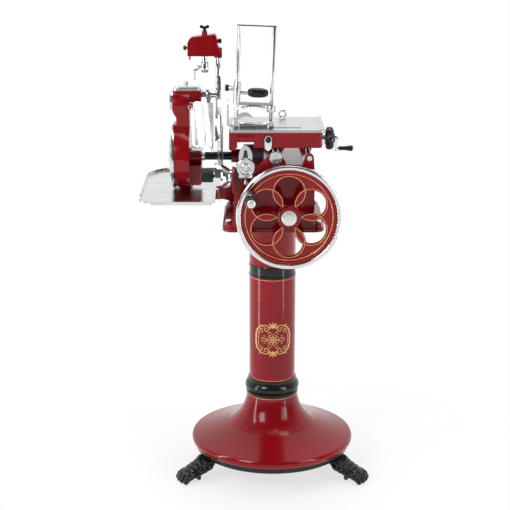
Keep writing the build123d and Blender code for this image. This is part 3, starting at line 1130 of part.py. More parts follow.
# ------------------------------------------------------------- blade spindle
pinion_end = SPUR_X + SPUR_FACE / 2 + 8
spindle_x0 = COL_X0 + 13
spindle = along_x(spindle_x0, pinion_end, SPINDLE_Y, SPINDLE_Z, SPINDLE_R)
spindle += along_x(SPUR_X + SPUR_FACE / 2, pinion_end - 2, SPINDLE_Y, SPINDLE_Z, SPINDLE_R + 5)
hub_half = 5.0
left_sleeve = along_x(bush_x1 + GAP, BLADE_X - hub_half, SPINDLE_Y, SPINDLE_Z, SLEEVE_R, SPINDLE_R)
right_sleeve = along_x(BLADE_X + hub_half, boss_out - GAP, SPINDLE_Y, SPINDLE_Z, SLEEVE_R, SPINDLE_R)
keep("spindle_sleeves", group([left_sleeve, right_sleeve]))
blade_half = BLADE_T / 2
keep("blade", to_x(BLADE_X, SPINDLE_Y, SPINDLE_Z) * turned([
    (BLADE_HUB_R - 6, -blade_half), (BLADE_R - 30, -blade_half), (BLADE_R - BLADE_BEVEL, -blade_half + 1),
    (BLADE_R, blade_half - BLADE_EDGE), (BLADE_R, blade_half), (BLADE_R - 22, blade_half),
    (BLADE_R - 28, blade_half - 1.2), (BLADE_HUB_R + 14, blade_half - 1.2), (BLADE_HUB_R + 8, blade_half),
    (BLADE_HUB_R - 6, blade_half)]))
hub = turned([
    (SPINDLE_R, -hub_half), (BLADE_HUB_R, -hub_half), (BLADE_HUB_R, -blade_half),
    (BLADE_HUB_R - 6, -blade_half), (BLADE_HUB_R - 6, blade_half), (BLADE_HUB_R, blade_half),
    (BLADE_HUB_R, hub_half - 1), (BLADE_HUB_R - 2, hub_half), (SPINDLE_R, hub_half)])
hub = to_x(BLADE_X, SPINDLE_Y, SPINDLE_Z) * hub
keep("blade_spindle", group([spindle, pinion, hub]))

# Ring guard round the rear and top of the blade, hung from the tie bar's clamp.
GUARD_GAP = 3.0
GUARD_START = -32.0     # angles from +Y towards +Z
GUARD_END = 152.0
guard_r0 = BLADE_R + GUARD_GAP
guard_r1 = guard_r0 + 5
guard = turned([
    (guard_r0 - 8, -9), (guard_r1, -9), (guard_r1, 5), (guard_r0, 5), (guard_r0, -6),
    (guard_r0 - 8, -6)])
open_mid = math.radians((GUARD_END + GUARD_START) / 2 + 180)
far = 320.0
edge_a = math.radians(GUARD_END)
edge_b = math.radians(GUARD_START)
opening = make_face(Polyline(
    (0, 0), (far * math.cos(edge_a), far * math.sin(edge_a)),
    (far * math.cos(open_mid) * 1.6, far * math.sin(open_mid) * 1.6),
    (far * math.cos(edge_b), far * math.sin(edge_b)), close=True))
guard_plane = Plane(origin=(BLADE_X, SPINDLE_Y, SPINDLE_Z), x_dir=(0, 1, 0), z_dir=(1, 0, 0))
guard = guard_plane * (guard - extrude(opening, 30, both=True))
clamp_x0 = POST_X - 9
clamp_x1 = POST_X + 9
clamp_z0 = TIE_Z - 14
clamp_z1 = TIE_Z + 14
guard += plate_x(BLADE_X - 9, BLADE_X - 4, SPINDLE_Y - 12, SPINDLE_Y + 12,
                 SPINDLE_Z + guard_r1 - 2, clamp_z0, 4)
keep("blade_guard", guard)
tie = along_x(tie_hole_x, clamp_x0, SPINDLE_Y, TIE_Z, TIE_R)
post_clamp = plate_z(clamp_x0, clamp_x1, SPINDLE_Y - 13, SPINDLE_Y + 13, clamp_z0, clamp_z1, 4)
post_clamp -= along_z(POST_X, SPINDLE_Y, clamp_z0 + 4, clamp_z1 + 1, SUPPORT_R)
post_top = HOOD_Z0 + 22
post = along_z(POST_X, SPINDLE_Y, clamp_z0 + 4, post_top, SUPPORT_R)
keep("sharpener_post", group([post, post_clamp, tie]))

# ----------------------------------------------------------- slice deflector
DEFL_X0 = -250.0
DEFL_X1 = -190.0
DEFL_Z0 = 1112.0
DEFL_Z1 = 1262.0
DEFL_T = 2.5
front_y = SPINDLE_Y - 112
mid_arc = ((DEFL_X0 + DEFL_X1) / 2, front_y + 24)
back_y = front_y + 34
defl_face = make_face([
    ThreePointArc((DEFL_X1, front_y, 0), (mid_arc[0], mid_arc[1], 0), (DEFL_X0, back_y, 0)),
    Line((DEFL_X0, back_y, 0), (DEFL_X0, back_y + DEFL_T, 0)),
    ThreePointArc((DEFL_X0, back_y + DEFL_T, 0), (mid_arc[0], mid_arc[1] + DEFL_T, 0),
                  (DEFL_X1, front_y + DEFL_T, 0)),
    Line((DEFL_X1, front_y + DEFL_T, 0), (DEFL_X1, front_y, 0))])
deflector = Pos(0, 0, DEFL_Z0) * extrude(defl_face, DEFL_Z1 - DEFL_Z0)
lip_face = make_face([
    ThreePointArc((DEFL_X1, front_y - 9, 0), (mid_arc[0], mid_arc[1] - 10, 0), (DEFL_X0 - 12, back_y - 8, 0)),
    Line((DEFL_X0 - 12, back_y - 8, 0), (DEFL_X0 - 12, back_y + DEFL_T, 0)),
    ThreePointArc((DEFL_X0 - 12, back_y + DEFL_T, 0), (mid_arc[0], mid_arc[1] + DEFL_T, 0),
                  (DEFL_X1, front_y + DEFL_T, 0)),
    Line((DEFL_X1, front_y + DEFL_T, 0), (DEFL_X1, front_y - 9, 0))])
deflector += Pos(0, 0, DEFL_Z0 - 5) * extrude(lip_face, 15)
keep("slice_deflector", deflector)
swing_x = (DEFL_X0 + DEFL_X1) / 2 + 12
arm_z = TIE_Z - 26
swing_r = TIE_R + RUN_FIT
defl_arm = along_x(swing_x - 8, swing_x + 8, SPINDLE_Y, TIE_Z, TIE_R + 6)
defl_arm += block(swing_x - 6, swing_x + 6, SPINDLE_Y - 14, SPINDLE_Y, arm_z - 6, TIE_Z)
defl_arm += block(swing_x - 6, swing_x + 6, front_y, SPINDLE_Y, arm_z - 6, arm_z + 6)
defl_arm -= along_x(swing_x - 9, swing_x + 9, SPINDLE_Y, TIE_Z, swing_r)
defl_arm -= deflector
# Only the length behind the plate is kept, so that the arm's end follows the plate's curve.
keep("deflector_arm", max(defl_arm.solids(), key=lambda piece: piece.volume))

# Latch lever beside the deflector, on a lug of the column.
LATCH_Z = 1243.0
latch_y = SPINDLE_Y - COL_HEAD_R - 14
lug_x1 = COL_X1 + 12
column_body += slab_yz([(SPINDLE_Y - COL_HEAD_R + 12, LATCH_Z - 9), (latch_y, LATCH_Z - 9),
                        (latch_y, LATCH_Z + 9), (SPINDLE_Y - COL_HEAD_R + 12, LATCH_Z + 9)],
                       COL_X1 - 10, lug_x1)
latch_x = (COL_X1 - 10 + lug_x1) / 2 + 2
latch_face = facing_front(latch_x, latch_y - GAP, LATCH_Z)
column_body += facing_front(latch_x, latch_y, LATCH_Z) * turned([
    (0, -12), (3, -12), (3, 6 + 2 * GAP), (5, 6 + 2 * GAP), (4, 9), (0, 9)])
latch = Cylinder(6.5, 6) + Rot(0, 0, -36) * Pos(12, 0, 0) * Box(24, 6, 5)
latch += Rot(0, 0, -36) * Pos(25, 0, 0) * Sphere(4.5)
latch -= Cylinder(3 + RUN_FIT, 20)
keep("latch_lever", latch_face * Pos(0, 0, 3) * latch)
keep("gear_column", column_body)

# Gauge plate beside the blade, rising from the bell housing.
GAUGE_X = -161.0
GAUGE_T = 3.0
GAUGE_H = 164.0         # top of the plate above the bell's axis
GAUGE_REACH = 66.0      # how far it leans back over the blade's edge
gauge_foot = BELL_R - 12
gauge = slab_yz([
    (BELL_Y - 9, BELL_HZ + gauge_foot), (BELL_Y + 10, BELL_HZ + gauge_foot),
    (BELL_Y + GAUGE_REACH * 0.24, BELL_HZ + GAUGE_H * 0.44),
    (BELL_Y + GAUGE_REACH * 0.94, BELL_HZ + GAUGE_H * 0.54),
    (BELL_Y + GAUGE_REACH, BELL_HZ + GAUGE_H * 0.91), (BELL_Y + GAUGE_REACH * 0.79, BELL_HZ + GAUGE_H),
    (BELL_Y + GAUGE_REACH * 0.36, BELL_HZ + GAUGE_H * 0.96),
    (BELL_Y + GAUGE_REACH * 0.06, BELL_HZ + GAUGE_H * 0.67)], GAUGE_X, GAUGE_X + GAUGE_T)
gauge -= bell_at * Cylinder(BELL_R - 5.5, bell_len * 4)
gauge -= bell
keep("bell_housing", group([bell, gauge]))

# ----------------------------------------------------------------- sharpener
hood_y1 = HOOD_Y + HOOD_DEPTH / 2
hood_wall = 4.0
shoulder_z = HOOD_Z0 + 36


def hood_outline(inset):
    """Hood seen from the operator: flat foot, steep left end, sloping crown."""
    x0 = HOOD_X0 + inset
    x1 = HOOD_X1 - inset
    top = HOOD_Z1 - inset
    return make_face([
        Line((x0, 0, HOOD_Z0), (x0, 0, shoulder_z)),
        ThreePointArc((x0, 0, shoulder_z), (x0 + 6, 0, top - 16), (x0 + 17, 0, top - 8)),
        Line((x0 + 17, 0, top - 8), (x1 - 26, 0, top)),
        ThreePointArc((x1 - 26, 0, top), (x1 - 20, 0, top - 3), (x1 - 17, 0, top - 10)),
        ThreePointArc((x1 - 17, 0, top - 10), (x1 - 12, 0, shoulder_z - 6), (x1, 0, HOOD_Z0 + 14)),
        Line((x1, 0, HOOD_Z0 + 14), (x1, 0, HOOD_Z0)),
        Line((x1, 0, HOOD_Z0), (x0, 0, HOOD_Z0))])


hood = Pos(0, hood_y1, 0) * extrude(hood_outline(0), HOOD_DEPTH, dir=(0, -1, 0))
hood -= (Pos(0, hood_y1 - hood_wall, 0)
         * extrude(hood_outline(hood_wall), HOOD_DEPTH - 2 * hood_wall, dir=(0, -1, 0)))
boss_x = SHARP_X - 2
hood += along_z(boss_x, HOOD_Y, HOOD_Z1 - 12, HOOD_Z1 + 7, 9)
hood += along_z(boss_x, HOOD_Y, HOOD_Z0 + 4, HOOD_Z1 - 4, 13)
hood += along_z(POST_X, SPINDLE_Y, HOOD_Z0 - 6, HOOD_Z0 + 26, SUPPORT_R + 5)
hood += block(boss_x, POST_X, HOOD_Y - 5, HOOD_Y + 5, HOOD_Z0 + 4, HOOD_Z0 + 24)
hood += block(HOOD_X0 + 2, boss_x, HOOD_Y - 5, HOOD_Y + 5, HOOD_Z0 + 10, HOOD_Z0 + 36)
hood -= along_z(POST_X, SPINDLE_Y, HOOD_Z0 - 10, HOOD_Z1 - 20, SUPPORT_R + RUN_FIT)
hood -= along_z(boss_x, HOOD_Y, HOOD_Z0 - 1, HOOD_Z1 + 20, 4 + RUN_FIT)
push_z = HOOD_Z0 + 24
hood -= along_x(HOOD_X0 - 1, HOOD_X0 + 40, HOOD_Y, push_z, 3 + RUN_FIT)
lock_z = HOOD_Z0 + 46
hood += along_x(HOOD_X1 - 26, HOOD_X1 - 12, HOOD_Y, lock_z, 8)
hood -= along_x(HOOD_X1 - 34, HOOD_X1 - 10, HOOD_Y, lock_z, 3 + RUN_FIT)
hood += along_z(HOOD_X0 + 7, HOOD_Y - 20, HOOD_Z0, HOOD_Z0 + 14, 6)
hood += along_z(HOOD_X0 + 7, HOOD_Y - 20, HOOD_Z0 - 12, HOOD_Z0 + 12, 2.5)
keep("sharpener_hood", hood)

wing_z = HOOD_Z1 + 7 + GAP
wing = Pos(boss_x, HOOD_Y, wing_z) * turned([
    (0, -12), (4, -12), (4, 0), (7, 0), (5.5, 6), (6, 11), (8, 15), (0, 15)])
wing += Pos(boss_x, HOOD_Y, wing_z + 13) * Box(23, 6, 7)
wing += Pos(boss_x - 10, HOOD_Y, wing_z + 15) * Rot(90, 0, 0) * Cylinder(5, 6)
wing += Pos(boss_x + 10, HOOD_Y, wing_z + 15) * Rot(90, 0, 0) * Cylinder(5, 6)
keep("wing_knob", wing)

push = to_minus_x(HOOD_X0 - 5, HOOD_Y, push_z) * turned([
    (0, -36), (3, -36), (3, 0), (7, 1), (8, 4), (7, 8), (4, 10), (0, 10)])
keep("push_knob", push)
lock = to_x(HOOD_X1 - 12 + GAP, HOOD_Y, lock_z) * turned([
    (0, -16), (3, -16), (3, 0), (6, 0), (8, 3), (8, 7), (6, 10), (0, 10)])
keep("lock_knob", lock)

# Stone carrier below the hood: neck, cup and the stone itself.
cup_z0 = 1349.0
cup_z1 = 1377.0
carrier = Pos(boss_x, HOOD_Y, 0) * turned([
    (0, cup_z0 + 3), (13, cup_z0 + 3), (13, cup_z1 - 2), (12, cup_z1), (9, cup_z1),
    (9, HOOD_Z0 + 4), (0, HOOD_Z0 + 4)])
carrier += along_z(boss_x, HOOD_Y, HOOD_Z0, HOOD_Z0 + 40, 4)
lever_at = cup_z0 + 12
carrier += along_x(boss_x - 17, boss_x, HOOD_Y, lever_at, 4)
stone = along_z(boss_x, HOOD_Y, cup_z0 + 3 - STONE_T, cup_z0 + 3, STONE_R)
trip_x = boss_x - 17 - GAP
trip = along_x(trip_x - 5, trip_x, HOOD_Y, lever_at, 6)
trip += slab_xz([(trip_x - 5, lever_at + 5), (trip_x, lever_at + 3), (trip_x - 1, lever_at - 5),
                 (trip_x - 16, lever_at - 15), (trip_x - 20, lever_at - 10)], HOOD_Y - 2.5, HOOD_Y + 2.5)
trip += along_z(trip_x - 16, HOOD_Y, lever_at - 42, lever_at - 12, 3)
trip -= along_x(trip_x - 6, trip_x + 1, HOOD_Y, lever_at, 2.5 + RUN_FIT)
trip -= along_x(trip_x - 24, trip_x - 5, HOOD_Y, lever_at, 5.5)
keep("trip_lever", trip)
carrier += to_minus_x(boss_x - 17, HOOD_Y, lever_at) * turned([
    (0, 0), (2.5, 0), (2.5, 5 + 2 * GAP), (4.5, 5 + 2 * GAP), (4, 8), (0, 8)])
keep("stone_carrier", group([carrier, stone]))

# ---------------------------------------------------------------------- tray
tray_len = math.hypot(TRAY_Y1 - TRAY_Y0, TRAY_RISE)
tilt = math.degrees(math.atan2(TRAY_RISE, TRAY_Y1 - TRAY_Y0))
tray_at = Pos(0, TRAY_Y0, TRAY_Z) * Rot(tilt, 0, 0)


def tray_plan(inset):
    """Plan of the tray: rounded front, large bevel at the outer rear corner."""
    x0 = TRAY_X0 + inset
    x1 = TRAY_X1 - inset
    y0 = inset
    y1 = tray_len - inset
    return make_face([
        ThreePointArc((x0 + 26, y0, 0), (x0 + 7, y0 + 8, 0), (x0, y0 + 28, 0)),
        Line((x0, y0 + 28, 0), (x0 + 4, y1 - 92, 0)),
        ThreePointArc((x0 + 4, y1 - 92, 0), (x0 + 26, y1 - 30, 0), (x0 + 66, y1, 0)),
        Line((x0 + 66, y1, 0), (x1, y1, 0)),
        Line((x1, y1, 0), (x1, y0, 0)),
        Line((x1, y0, 0), (x0 + 26, y0, 0))])


pan = extrude(tray_plan(0), TRAY_T)
rim = extrude(tray_plan(0), TRAY_LIP) - extrude(tray_plan(TRAY_T), TRAY_LIP + 1)
rim -= block(TRAY_X0 - 5, TRAY_X1 + 5, -5, 60, TRAY_T, TRAY_LIP + 5)
rim -= block(TRAY_X1 - 8, TRAY_X1 + 5, -5, tray_len + 5, TRAY_T, TRAY_LIP + 5)
pan += rim
pan += block(TRAY_X0 + 40, TRAY_X1 - 10, 0.5, 3.5, -7, 0.5)
tray = tray_at * pan
pillar_gap = 6.0
tray -= block(COL_X0 + 6 - pillar_gap, COL_X1 + pillar_gap, ARM_Y0 - pillar_gap, TRAY_Y1 + 20,
              TRAY_Z - 20, TRAY_Z + 90)
keep("tray", tray)

# Two straps under the tray, screwed to the top of the arm.
strap_y1 = ARM_Y1 - TRAY_Y0
straps = []
for x in (COL_X1 + 24, COL_X1 + 62):
    strap = tray_at * block(x - 9, x + 9, 46, strap_y1, -6, 0)
    seat = block(x - 9, x + 9, ARM_Y0 + 2, ARM_Y1 - 2, ARM_Z1, TRAY_Z + TRAY_RISE + 20)
    seat -= tray_at * block(x - 20, x + 20, -20, tray_len + 20, -3, 200)
    straps.append(strap + seat)
keep("column_arm", group([arm] + straps))
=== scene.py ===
import json
import math

import bmesh
import bpy
from mathutils import Matrix, Vector


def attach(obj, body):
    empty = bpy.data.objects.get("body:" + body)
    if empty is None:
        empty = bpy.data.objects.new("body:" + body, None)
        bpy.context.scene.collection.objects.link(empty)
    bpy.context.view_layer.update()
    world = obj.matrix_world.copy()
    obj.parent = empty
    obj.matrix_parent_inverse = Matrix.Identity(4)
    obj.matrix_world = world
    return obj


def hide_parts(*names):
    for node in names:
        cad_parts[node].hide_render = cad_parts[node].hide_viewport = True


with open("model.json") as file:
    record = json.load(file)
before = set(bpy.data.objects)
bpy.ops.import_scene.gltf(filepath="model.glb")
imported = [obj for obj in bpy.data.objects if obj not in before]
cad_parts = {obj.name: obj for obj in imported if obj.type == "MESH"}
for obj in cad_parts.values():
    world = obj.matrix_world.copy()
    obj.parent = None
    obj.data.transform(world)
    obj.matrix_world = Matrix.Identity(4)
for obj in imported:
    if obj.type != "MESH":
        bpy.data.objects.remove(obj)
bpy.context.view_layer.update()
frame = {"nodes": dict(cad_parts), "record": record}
nodes = frame["nodes"]
scene = bpy.context.scene
MM = 0.001


# ------------------------------------------------------------------ materials
class Look:
    """A Principled material, with its pattern nodes laid out from object coordinates."""

    def __init__(self, name, base, metallic=0.0, roughness=0.4):
        self.mat = bpy.data.materials.new(name)
        self.mat.use_nodes = True
        self.tree = self.mat.node_tree
        self.shader = self.tree.nodes["Principled BSDF"]
        self.base = base
        self.shader.inputs["Base Color"].default_value = (*base, 1)
        self.shader.inputs["Metallic"].default_value = metallic
        self.shader.inputs["Roughness"].default_value = roughness
        self.coords = self.tree.nodes.new("ShaderNodeTexCoord").outputs["Object"]
        self.height = None

    def node(self, kind, **settings):
        made = self.tree.nodes.new(kind)
        for key, value in settings.items():
            setattr(made, key, value)
        return made

    def link(self, source, target):
        self.tree.links.new(source, target)

    def set(self, **values):
        """Plain values on the shader's own sockets."""
        for key, value in values.items():
            self.shader.inputs[key.replace("_", " ")].default_value = value
        return self

    def mapped(self, stretch=(1, 1, 1), turn=(0, 0, 0)):
        mapping = self.node("ShaderNodeMapping")
        mapping.inputs["Scale"].default_value = stretch
        mapping.inputs["Rotation"].default_value = turn
        self.link(self.coords, mapping.inputs["Vector"])
        return mapping.outputs["Vector"]

    def noise(self, scale, detail=4.0, stretch=(1, 1, 1), turn=(0, 0, 0), rough=0.5, warp=0.0):
        pattern = self.node("ShaderNodeTexNoise")
        pattern.inputs["Scale"].default_value = scale
        pattern.inputs["Detail"].default_value = detail
        pattern.inputs["Roughness"].default_value = rough
        pattern.inputs["Distortion"].default_value = warp
        self.link(self.mapped(stretch, turn), pattern.inputs["Vector"])
        return pattern.outputs["Fac"]

    def ranged(self, value, low, high, start=0.35, end=0.65):
        remap = self.node("ShaderNodeMapRange")
        remap.inputs["From Min"].default_value = start
        remap.inputs["From Max"].default_value = end
        remap.inputs["To Min"].default_value = low
        remap.inputs["To Max"].default_value = high
        self.link(value, remap.inputs["Value"])
        return remap.outputs["Result"]

    def rough(self, value, low, high, start=0.35, end=0.65):
        self.link(self.ranged(value, low, high, start, end), self.shader.inputs["Roughness"])
        return self

    def tint(self, value, low, high, start=0.35, end=0.65):
        """Base colour from low to high as the pattern rises."""
        mix = self.node("ShaderNodeMix", data_type="RGBA")
        self.link(self.ranged(value, 0, 1, start, end), mix.inputs["Factor"])
        mix.inputs["A"].default_value = (*low, 1)
        mix.inputs["B"].default_value = (*high, 1)
        self.link(mix.outputs["Result"], self.shader.inputs["Base Color"])
        return self

    def bump(self, value, strength, depth_mm):
        """Adds a height pattern; calls stack."""
        relief = self.node("ShaderNodeBump")
        relief.inputs["Strength"].default_value = strength
        relief.inputs["Distance"].default_value = depth_mm * MM
        self.link(value, relief.inputs["Height"])
        if self.height is not None:
            self.link(self.height, relief.inputs["Normal"])
        self.height = relief.outputs["Normal"]
        self.link(self.height, self.shader.inputs["Normal"])
        return self


def dimmed(colour, share):
    return tuple(c * share for c in colour)


RED = (0.245, 0.0018, 0.0060)
red = Look("red_enamel", RED, 0.0, 0.22)
red.tint(red.noise(3.0, 3), dimmed(RED, 0.86), dimmed(RED, 1.12))
red.rough(red.noise(55, 5), 0.14, 0.24)
red.bump(red.noise(420, 2), 0.10, 0.05)
red.bump(red.noise(28, 2), 0.12, 0.25)
red.set(Coat_Weight=0.25, Coat_Roughness=0.04, Specular_IOR_Level=0.22)

CHROME = (0.80, 0.80, 0.81)
chrome = Look("chrome_plate", CHROME, 1.0, 0.06)
chrome.rough(chrome.noise(60, 5), 0.04, 0.10)
chrome.tint(chrome.noise(9, 3), dimmed(CHROME, 0.93), CHROME)
chrome.bump(chrome.noise(35, 2), 0.05, 0.15)

STEEL = (0.74, 0.74, 0.75)
steel = Look("polished_steel", STEEL, 1.0, 0.18)
steel.rough(steel.noise(40, 6, stretch=(1, 1, 14)), 0.12, 0.26)
steel.tint(steel.noise(14, 4, stretch=(1, 1, 6)), dimmed(STEEL, 0.88), STEEL)
steel.bump(steel.noise(260, 3, stretch=(1, 1, 16)), 0.06, 0.04)

BLADE = (0.74, 0.74, 0.75)
blade_look = Look("blade_steel", BLADE, 1.0, 0.15)
blade_look.rough(blade_look.noise(30, 5), 0.10, 0.2)
blade_look.bump(blade_look.noise(700, 2, stretch=(12, 1, 1)), 0.05, 0.03)

ALU = (0.64, 0.64, 0.65)
alu = Look("satin_aluminium", ALU, 1.0, 0.28)
alu.rough(alu.noise(26, 6, stretch=(1, 14, 1)), 0.22, 0.36)
alu.tint(alu.noise(8, 4, stretch=(1, 8, 1)), dimmed(ALU, 0.92), ALU)
alu.bump(alu.noise(420, 3, stretch=(16, 1, 1)), 0.06, 0.03)

BLACK = (0.005, 0.005, 0.0055)
black = Look("black_enamel", BLACK, 0.0, 0.22)
black.tint(black.noise(12, 4), dimmed(BLACK, 0.7), dimmed(BLACK, 1.8))
black.rough(black.noise(60, 5), 0.14, 0.30)
black.bump(black.noise(240, 3), 0.12, 0.08)
black.set(Coat_Weight=0.3, Coat_Roughness=0.06, Specular_IOR_Level=0.25)

KNOB = (0.007, 0.007, 0.008)
knob_look = Look("black_thermoset", KNOB, 0.0, 0.2)
knob_look.rough(knob_look.noise(80, 5), 0.14, 0.30)
knob_look.tint(knob_look.noise(30, 4), dimmed(KNOB, 0.7), dimmed(KNOB, 1.6))
knob_look.bump(knob_look.noise(350, 2), 0.08, 0.05)
knob_look.set(Specular_IOR_Level=0.35)

RIM = (0.76, 0.76, 0.77)
rim_look = Look("turned_rim", RIM, 1.0, 0.12)
rim_look.rough(rim_look.noise(34, 5), 0.07, 0.16)
rim_look.tint(rim_look.noise(12, 4), dimmed(RIM, 0.9), RIM)
rim_look.bump(rim_look.noise(500, 2, stretch=(1, 10, 1)), 0.04, 0.03)

CAP = (0.80, 0.79, 0.77)
cap_look = Look("brushed_cap", CAP, 0.6, 0.35)
cap_look.rough(cap_look.noise(90, 4), 0.28, 0.42)
cap_look.tint(cap_look.noise(40, 4), dimmed(CAP, 0.93), CAP)
cap_look.bump(cap_look.noise(300, 3), 0.06, 0.03)

GEAR = (0.27, 0.27, 0.28)
gear_look = Look("gear_steel", GEAR, 1.0, 0.35)
gear_look.rough(gear_look.noise(50, 5), 0.28, 0.5)
gear_look.tint(gear_look.noise(24, 5), dimmed(GEAR, 0.6), dimmed(GEAR, 1.25))
gear_look.bump(gear_look.noise(160, 4), 0.15, 0.12)

GREY = (0.32, 0.33, 0.34)
grey = Look("grey_enamel", GREY, 0.0, 0.35)
grey.rough(grey.noise(60, 5), 0.26, 0.42)
grey.tint(grey.noise(18, 4), dimmed(GREY, 0.85), dimmed(GREY, 1.12))
grey.bump(grey.noise(220, 3), 0.2, 0.1)

BRONZE = (0.50, 0.31, 0.12)
bronze = Look("bearing_bronze", BRONZE, 1.0, 0.3)
bronze.rough(bronze.noise(60, 5), 0.22, 0.4)
bronze.tint(bronze.noise(30, 4), dimmed(BRONZE, 0.7), BRONZE)
bronze.bump(bronze.noise(200, 3), 0.1, 0.06)

STONE = (0.30, 0.29, 0.28)
stone = Look("grinding_stone", STONE, 0.0, 0.8)
stone.rough(stone.noise(300, 4), 0.7, 0.95)
stone.tint(stone.noise(700, 3), dimmed(STONE, 0.6), dimmed(STONE, 1.3))
stone.bump(stone.noise(900, 3), 0.5, 0.3)

GOLD = (0.80, 0.47, 0.19)
gold = Look("gold_leaf", GOLD, 0.35, 0.35)
gold.rough(gold.noise(120, 5), 0.28, 0.5)
gold.tint(gold.noise(60, 5), dimmed(GOLD, 0.78), GOLD)
gold.bump(gold.noise(300, 3), 0.15, 0.05)

SLOT_LOOKS = {
    "gloss_red": red, "chrome": chrome, "polished_steel": steel, "blade_steel": blade_look,
    "table_aluminium": alu, "black_enamel": black, "black_knob": knob_look, "bright_rim": rim_look,
    "gear_steel": gear_look, "grey_cover": grey, "bronze": bronze, "stone_grey": stone,
}
slot_of = {part["node"]: part["material_slot"] for part in frame["record"]["subparts"]}


def dress(obj, look):
    obj.data.materials.clear()
    obj.data.materials.append(look.mat)


for name, obj in nodes.items():
    dress(obj, SLOT_LOOKS[slot_of[name]])



# ----------------------------------------------------------------- mesh tools
def place(origin, x_dir, z_dir):
    """Matrix from local millimetres to the row frame, with local X and Z along the given directions."""
    x = Vector(x_dir).normalized()
    z = Vector(z_dir).normalized()
    turn = Matrix((x, z.cross(x), z)).transposed().to_4x4()
    return Matrix.Translation(Vector(origin) * MM) @ turn @ Matrix.Scale(MM, 4)


def facing_front(x, y, z):
    return place((x, y, z), (1, 0, 0), (0, -1, 0))


def facing_right(x, y, z):
    return place((x, y, z), (0, 1, 0), (1, 0, 0))


def facing_left(x, y, z):
    return place((x, y, z), (0, -1, 0), (-1, 0, 0))


def upright(x, y, z):
    return place((x, y, z), (1, 0, 0), (0, 0, 1))


def piece(name, mesh, look, body, stands_for=(), sharp=32):
    obj = bpy.data.objects.new(name, mesh)
    scene.collection.objects.link(obj)
    mesh.shade_smooth()
    if sharp:
        mesh.set_sharp_from_angle(angle=math.radians(sharp))
    dress(obj, look)
    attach(obj, body)
    if stands_for:
        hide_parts(*stands_for)
    return obj


def mesh_from(name, verts, faces, matrix=None):
    mesh = bpy.data.meshes.new(name)
    mesh.from_pydata([tuple(v) for v in verts], [], faces)
    if matrix is not None:
        mesh.transform(matrix)
    mesh.validate()
    mesh.update()
    return mesh


def joined(name, meshes):
    """One mesh out of several that share the row frame."""
    bm = bmesh.new()
    for mesh in meshes:
        bm.from_mesh(mesh)
        bpy.data.meshes.remove(mesh)
    made = bpy.data.meshes.new(name)
    bm.to_mesh(made)
    bm.free()
    return made


def rounded(outline, radius, steps=4, closed=False):
    """Outline with its corners eased by small curves."""
    count = len(outline)
    made = []
    for i, corner in enumerate(outline):
        if not closed and i in (0, count - 1):
            made.append(corner)
            continue
        here = Vector(corner)
        before = Vector(outline[i - 1]) - here
        after = Vector(outline[(i + 1) % count]) - here
        if before.length < 1e-6 or after.length < 1e-6 or before.angle(after) > math.radians(165):
            made.append(corner)
            continue
        a = here + before.normalized() * min(radius, before.length * 0.45)
        b = here + after.normalized() * min(radius, after.length * 0.45)
        for k in range(steps + 1):
            t = k / steps
            made.append(tuple(a * (1 - t) ** 2 + here * (2 * t * (1 - t)) + b * t ** 2))
    return made


def lathe_mesh(name, profile, matrix, segments=96, ease=0.8, closed=False, wobble=None):
    """Turned solid from (radius, height) points; the axis is the matrix's Z."""
    line = rounded(profile, ease, closed=closed) if ease else list(profile)
    verts = []
    rings = []
    for r, z in line:
        if r < 1e-6:
            rings.append([len(verts)])
            verts.append((0, 0, z))
            continue
        ring = []
        for k in range(segments):
            a = 2 * math.pi * k / segments
            grown = r + (wobble(a, r, z) if wobble else 0)
            ring.append(len(verts))
            verts.append((grown * math.cos(a), grown * math.sin(a), z))
        rings.append(ring)
    faces = []
    pairs = list(zip(rings, rings[1:]))
    if closed:
        pairs.append((rings[-1], rings[0]))
    for low, high in pairs:
        if len(low) == 1 and len(high) == 1:
            continue
        for k in range(segments):
            n = (k + 1) % segments
            if len(low) == 1:
                faces.append((low[0], high[k], high[n]))
            elif len(high) == 1:
                faces.append((low[k], low[n], high[0]))
            else:
                faces.append((low[k], low[n], high[n], high[k]))
    mesh = mesh_from(name, verts, faces, matrix)
    tidy_normals(mesh)
    return mesh


def tidy_normals(mesh):
    bm = bmesh.new()
    bm.from_mesh(mesh)
    bmesh.ops.remove_doubles(bm, verts=bm.verts, dist=1e-7)
    bmesh.ops.recalc_face_normals(bm, faces=bm.faces)
    bm.to_mesh(mesh)
    bm.free()


def ribbon_mesh(name, points, widths, place_point, rise=0.35, closed=False):
    """Flat raised stroke along 2-D points; place_point(u, v, h) sets it on its surface."""
    count = len(points)
    verts = []
    for i, (u, v) in enumerate(points):
        last = points[(i - 1) % count] if closed or i else points[i]
        following = points[(i + 1) % count] if closed or i < count - 1 else points[i]
        du, dv = following[0] - last[0], following[1] - last[1]
        size = math.hypot(du, dv) or 1.0
        nu, nv = -dv / size, du / size
        half = widths[i] / 2
        for side, lift in ((-1, 0.0), (-0.62, rise), (0.62, rise), (1, 0.0)):
            verts.append(place_point(u + nu * half * side, v + nv * half * side, lift))
    faces = []
    last_step = count if closed else count - 1
    for i in range(last_step):
        a, b = 4 * i, 4 * ((i + 1) % count)
        for k in range(3):
            faces.append((a + k, a + k + 1, b + k + 1, b + k))
    return mesh_from(name, verts, faces)


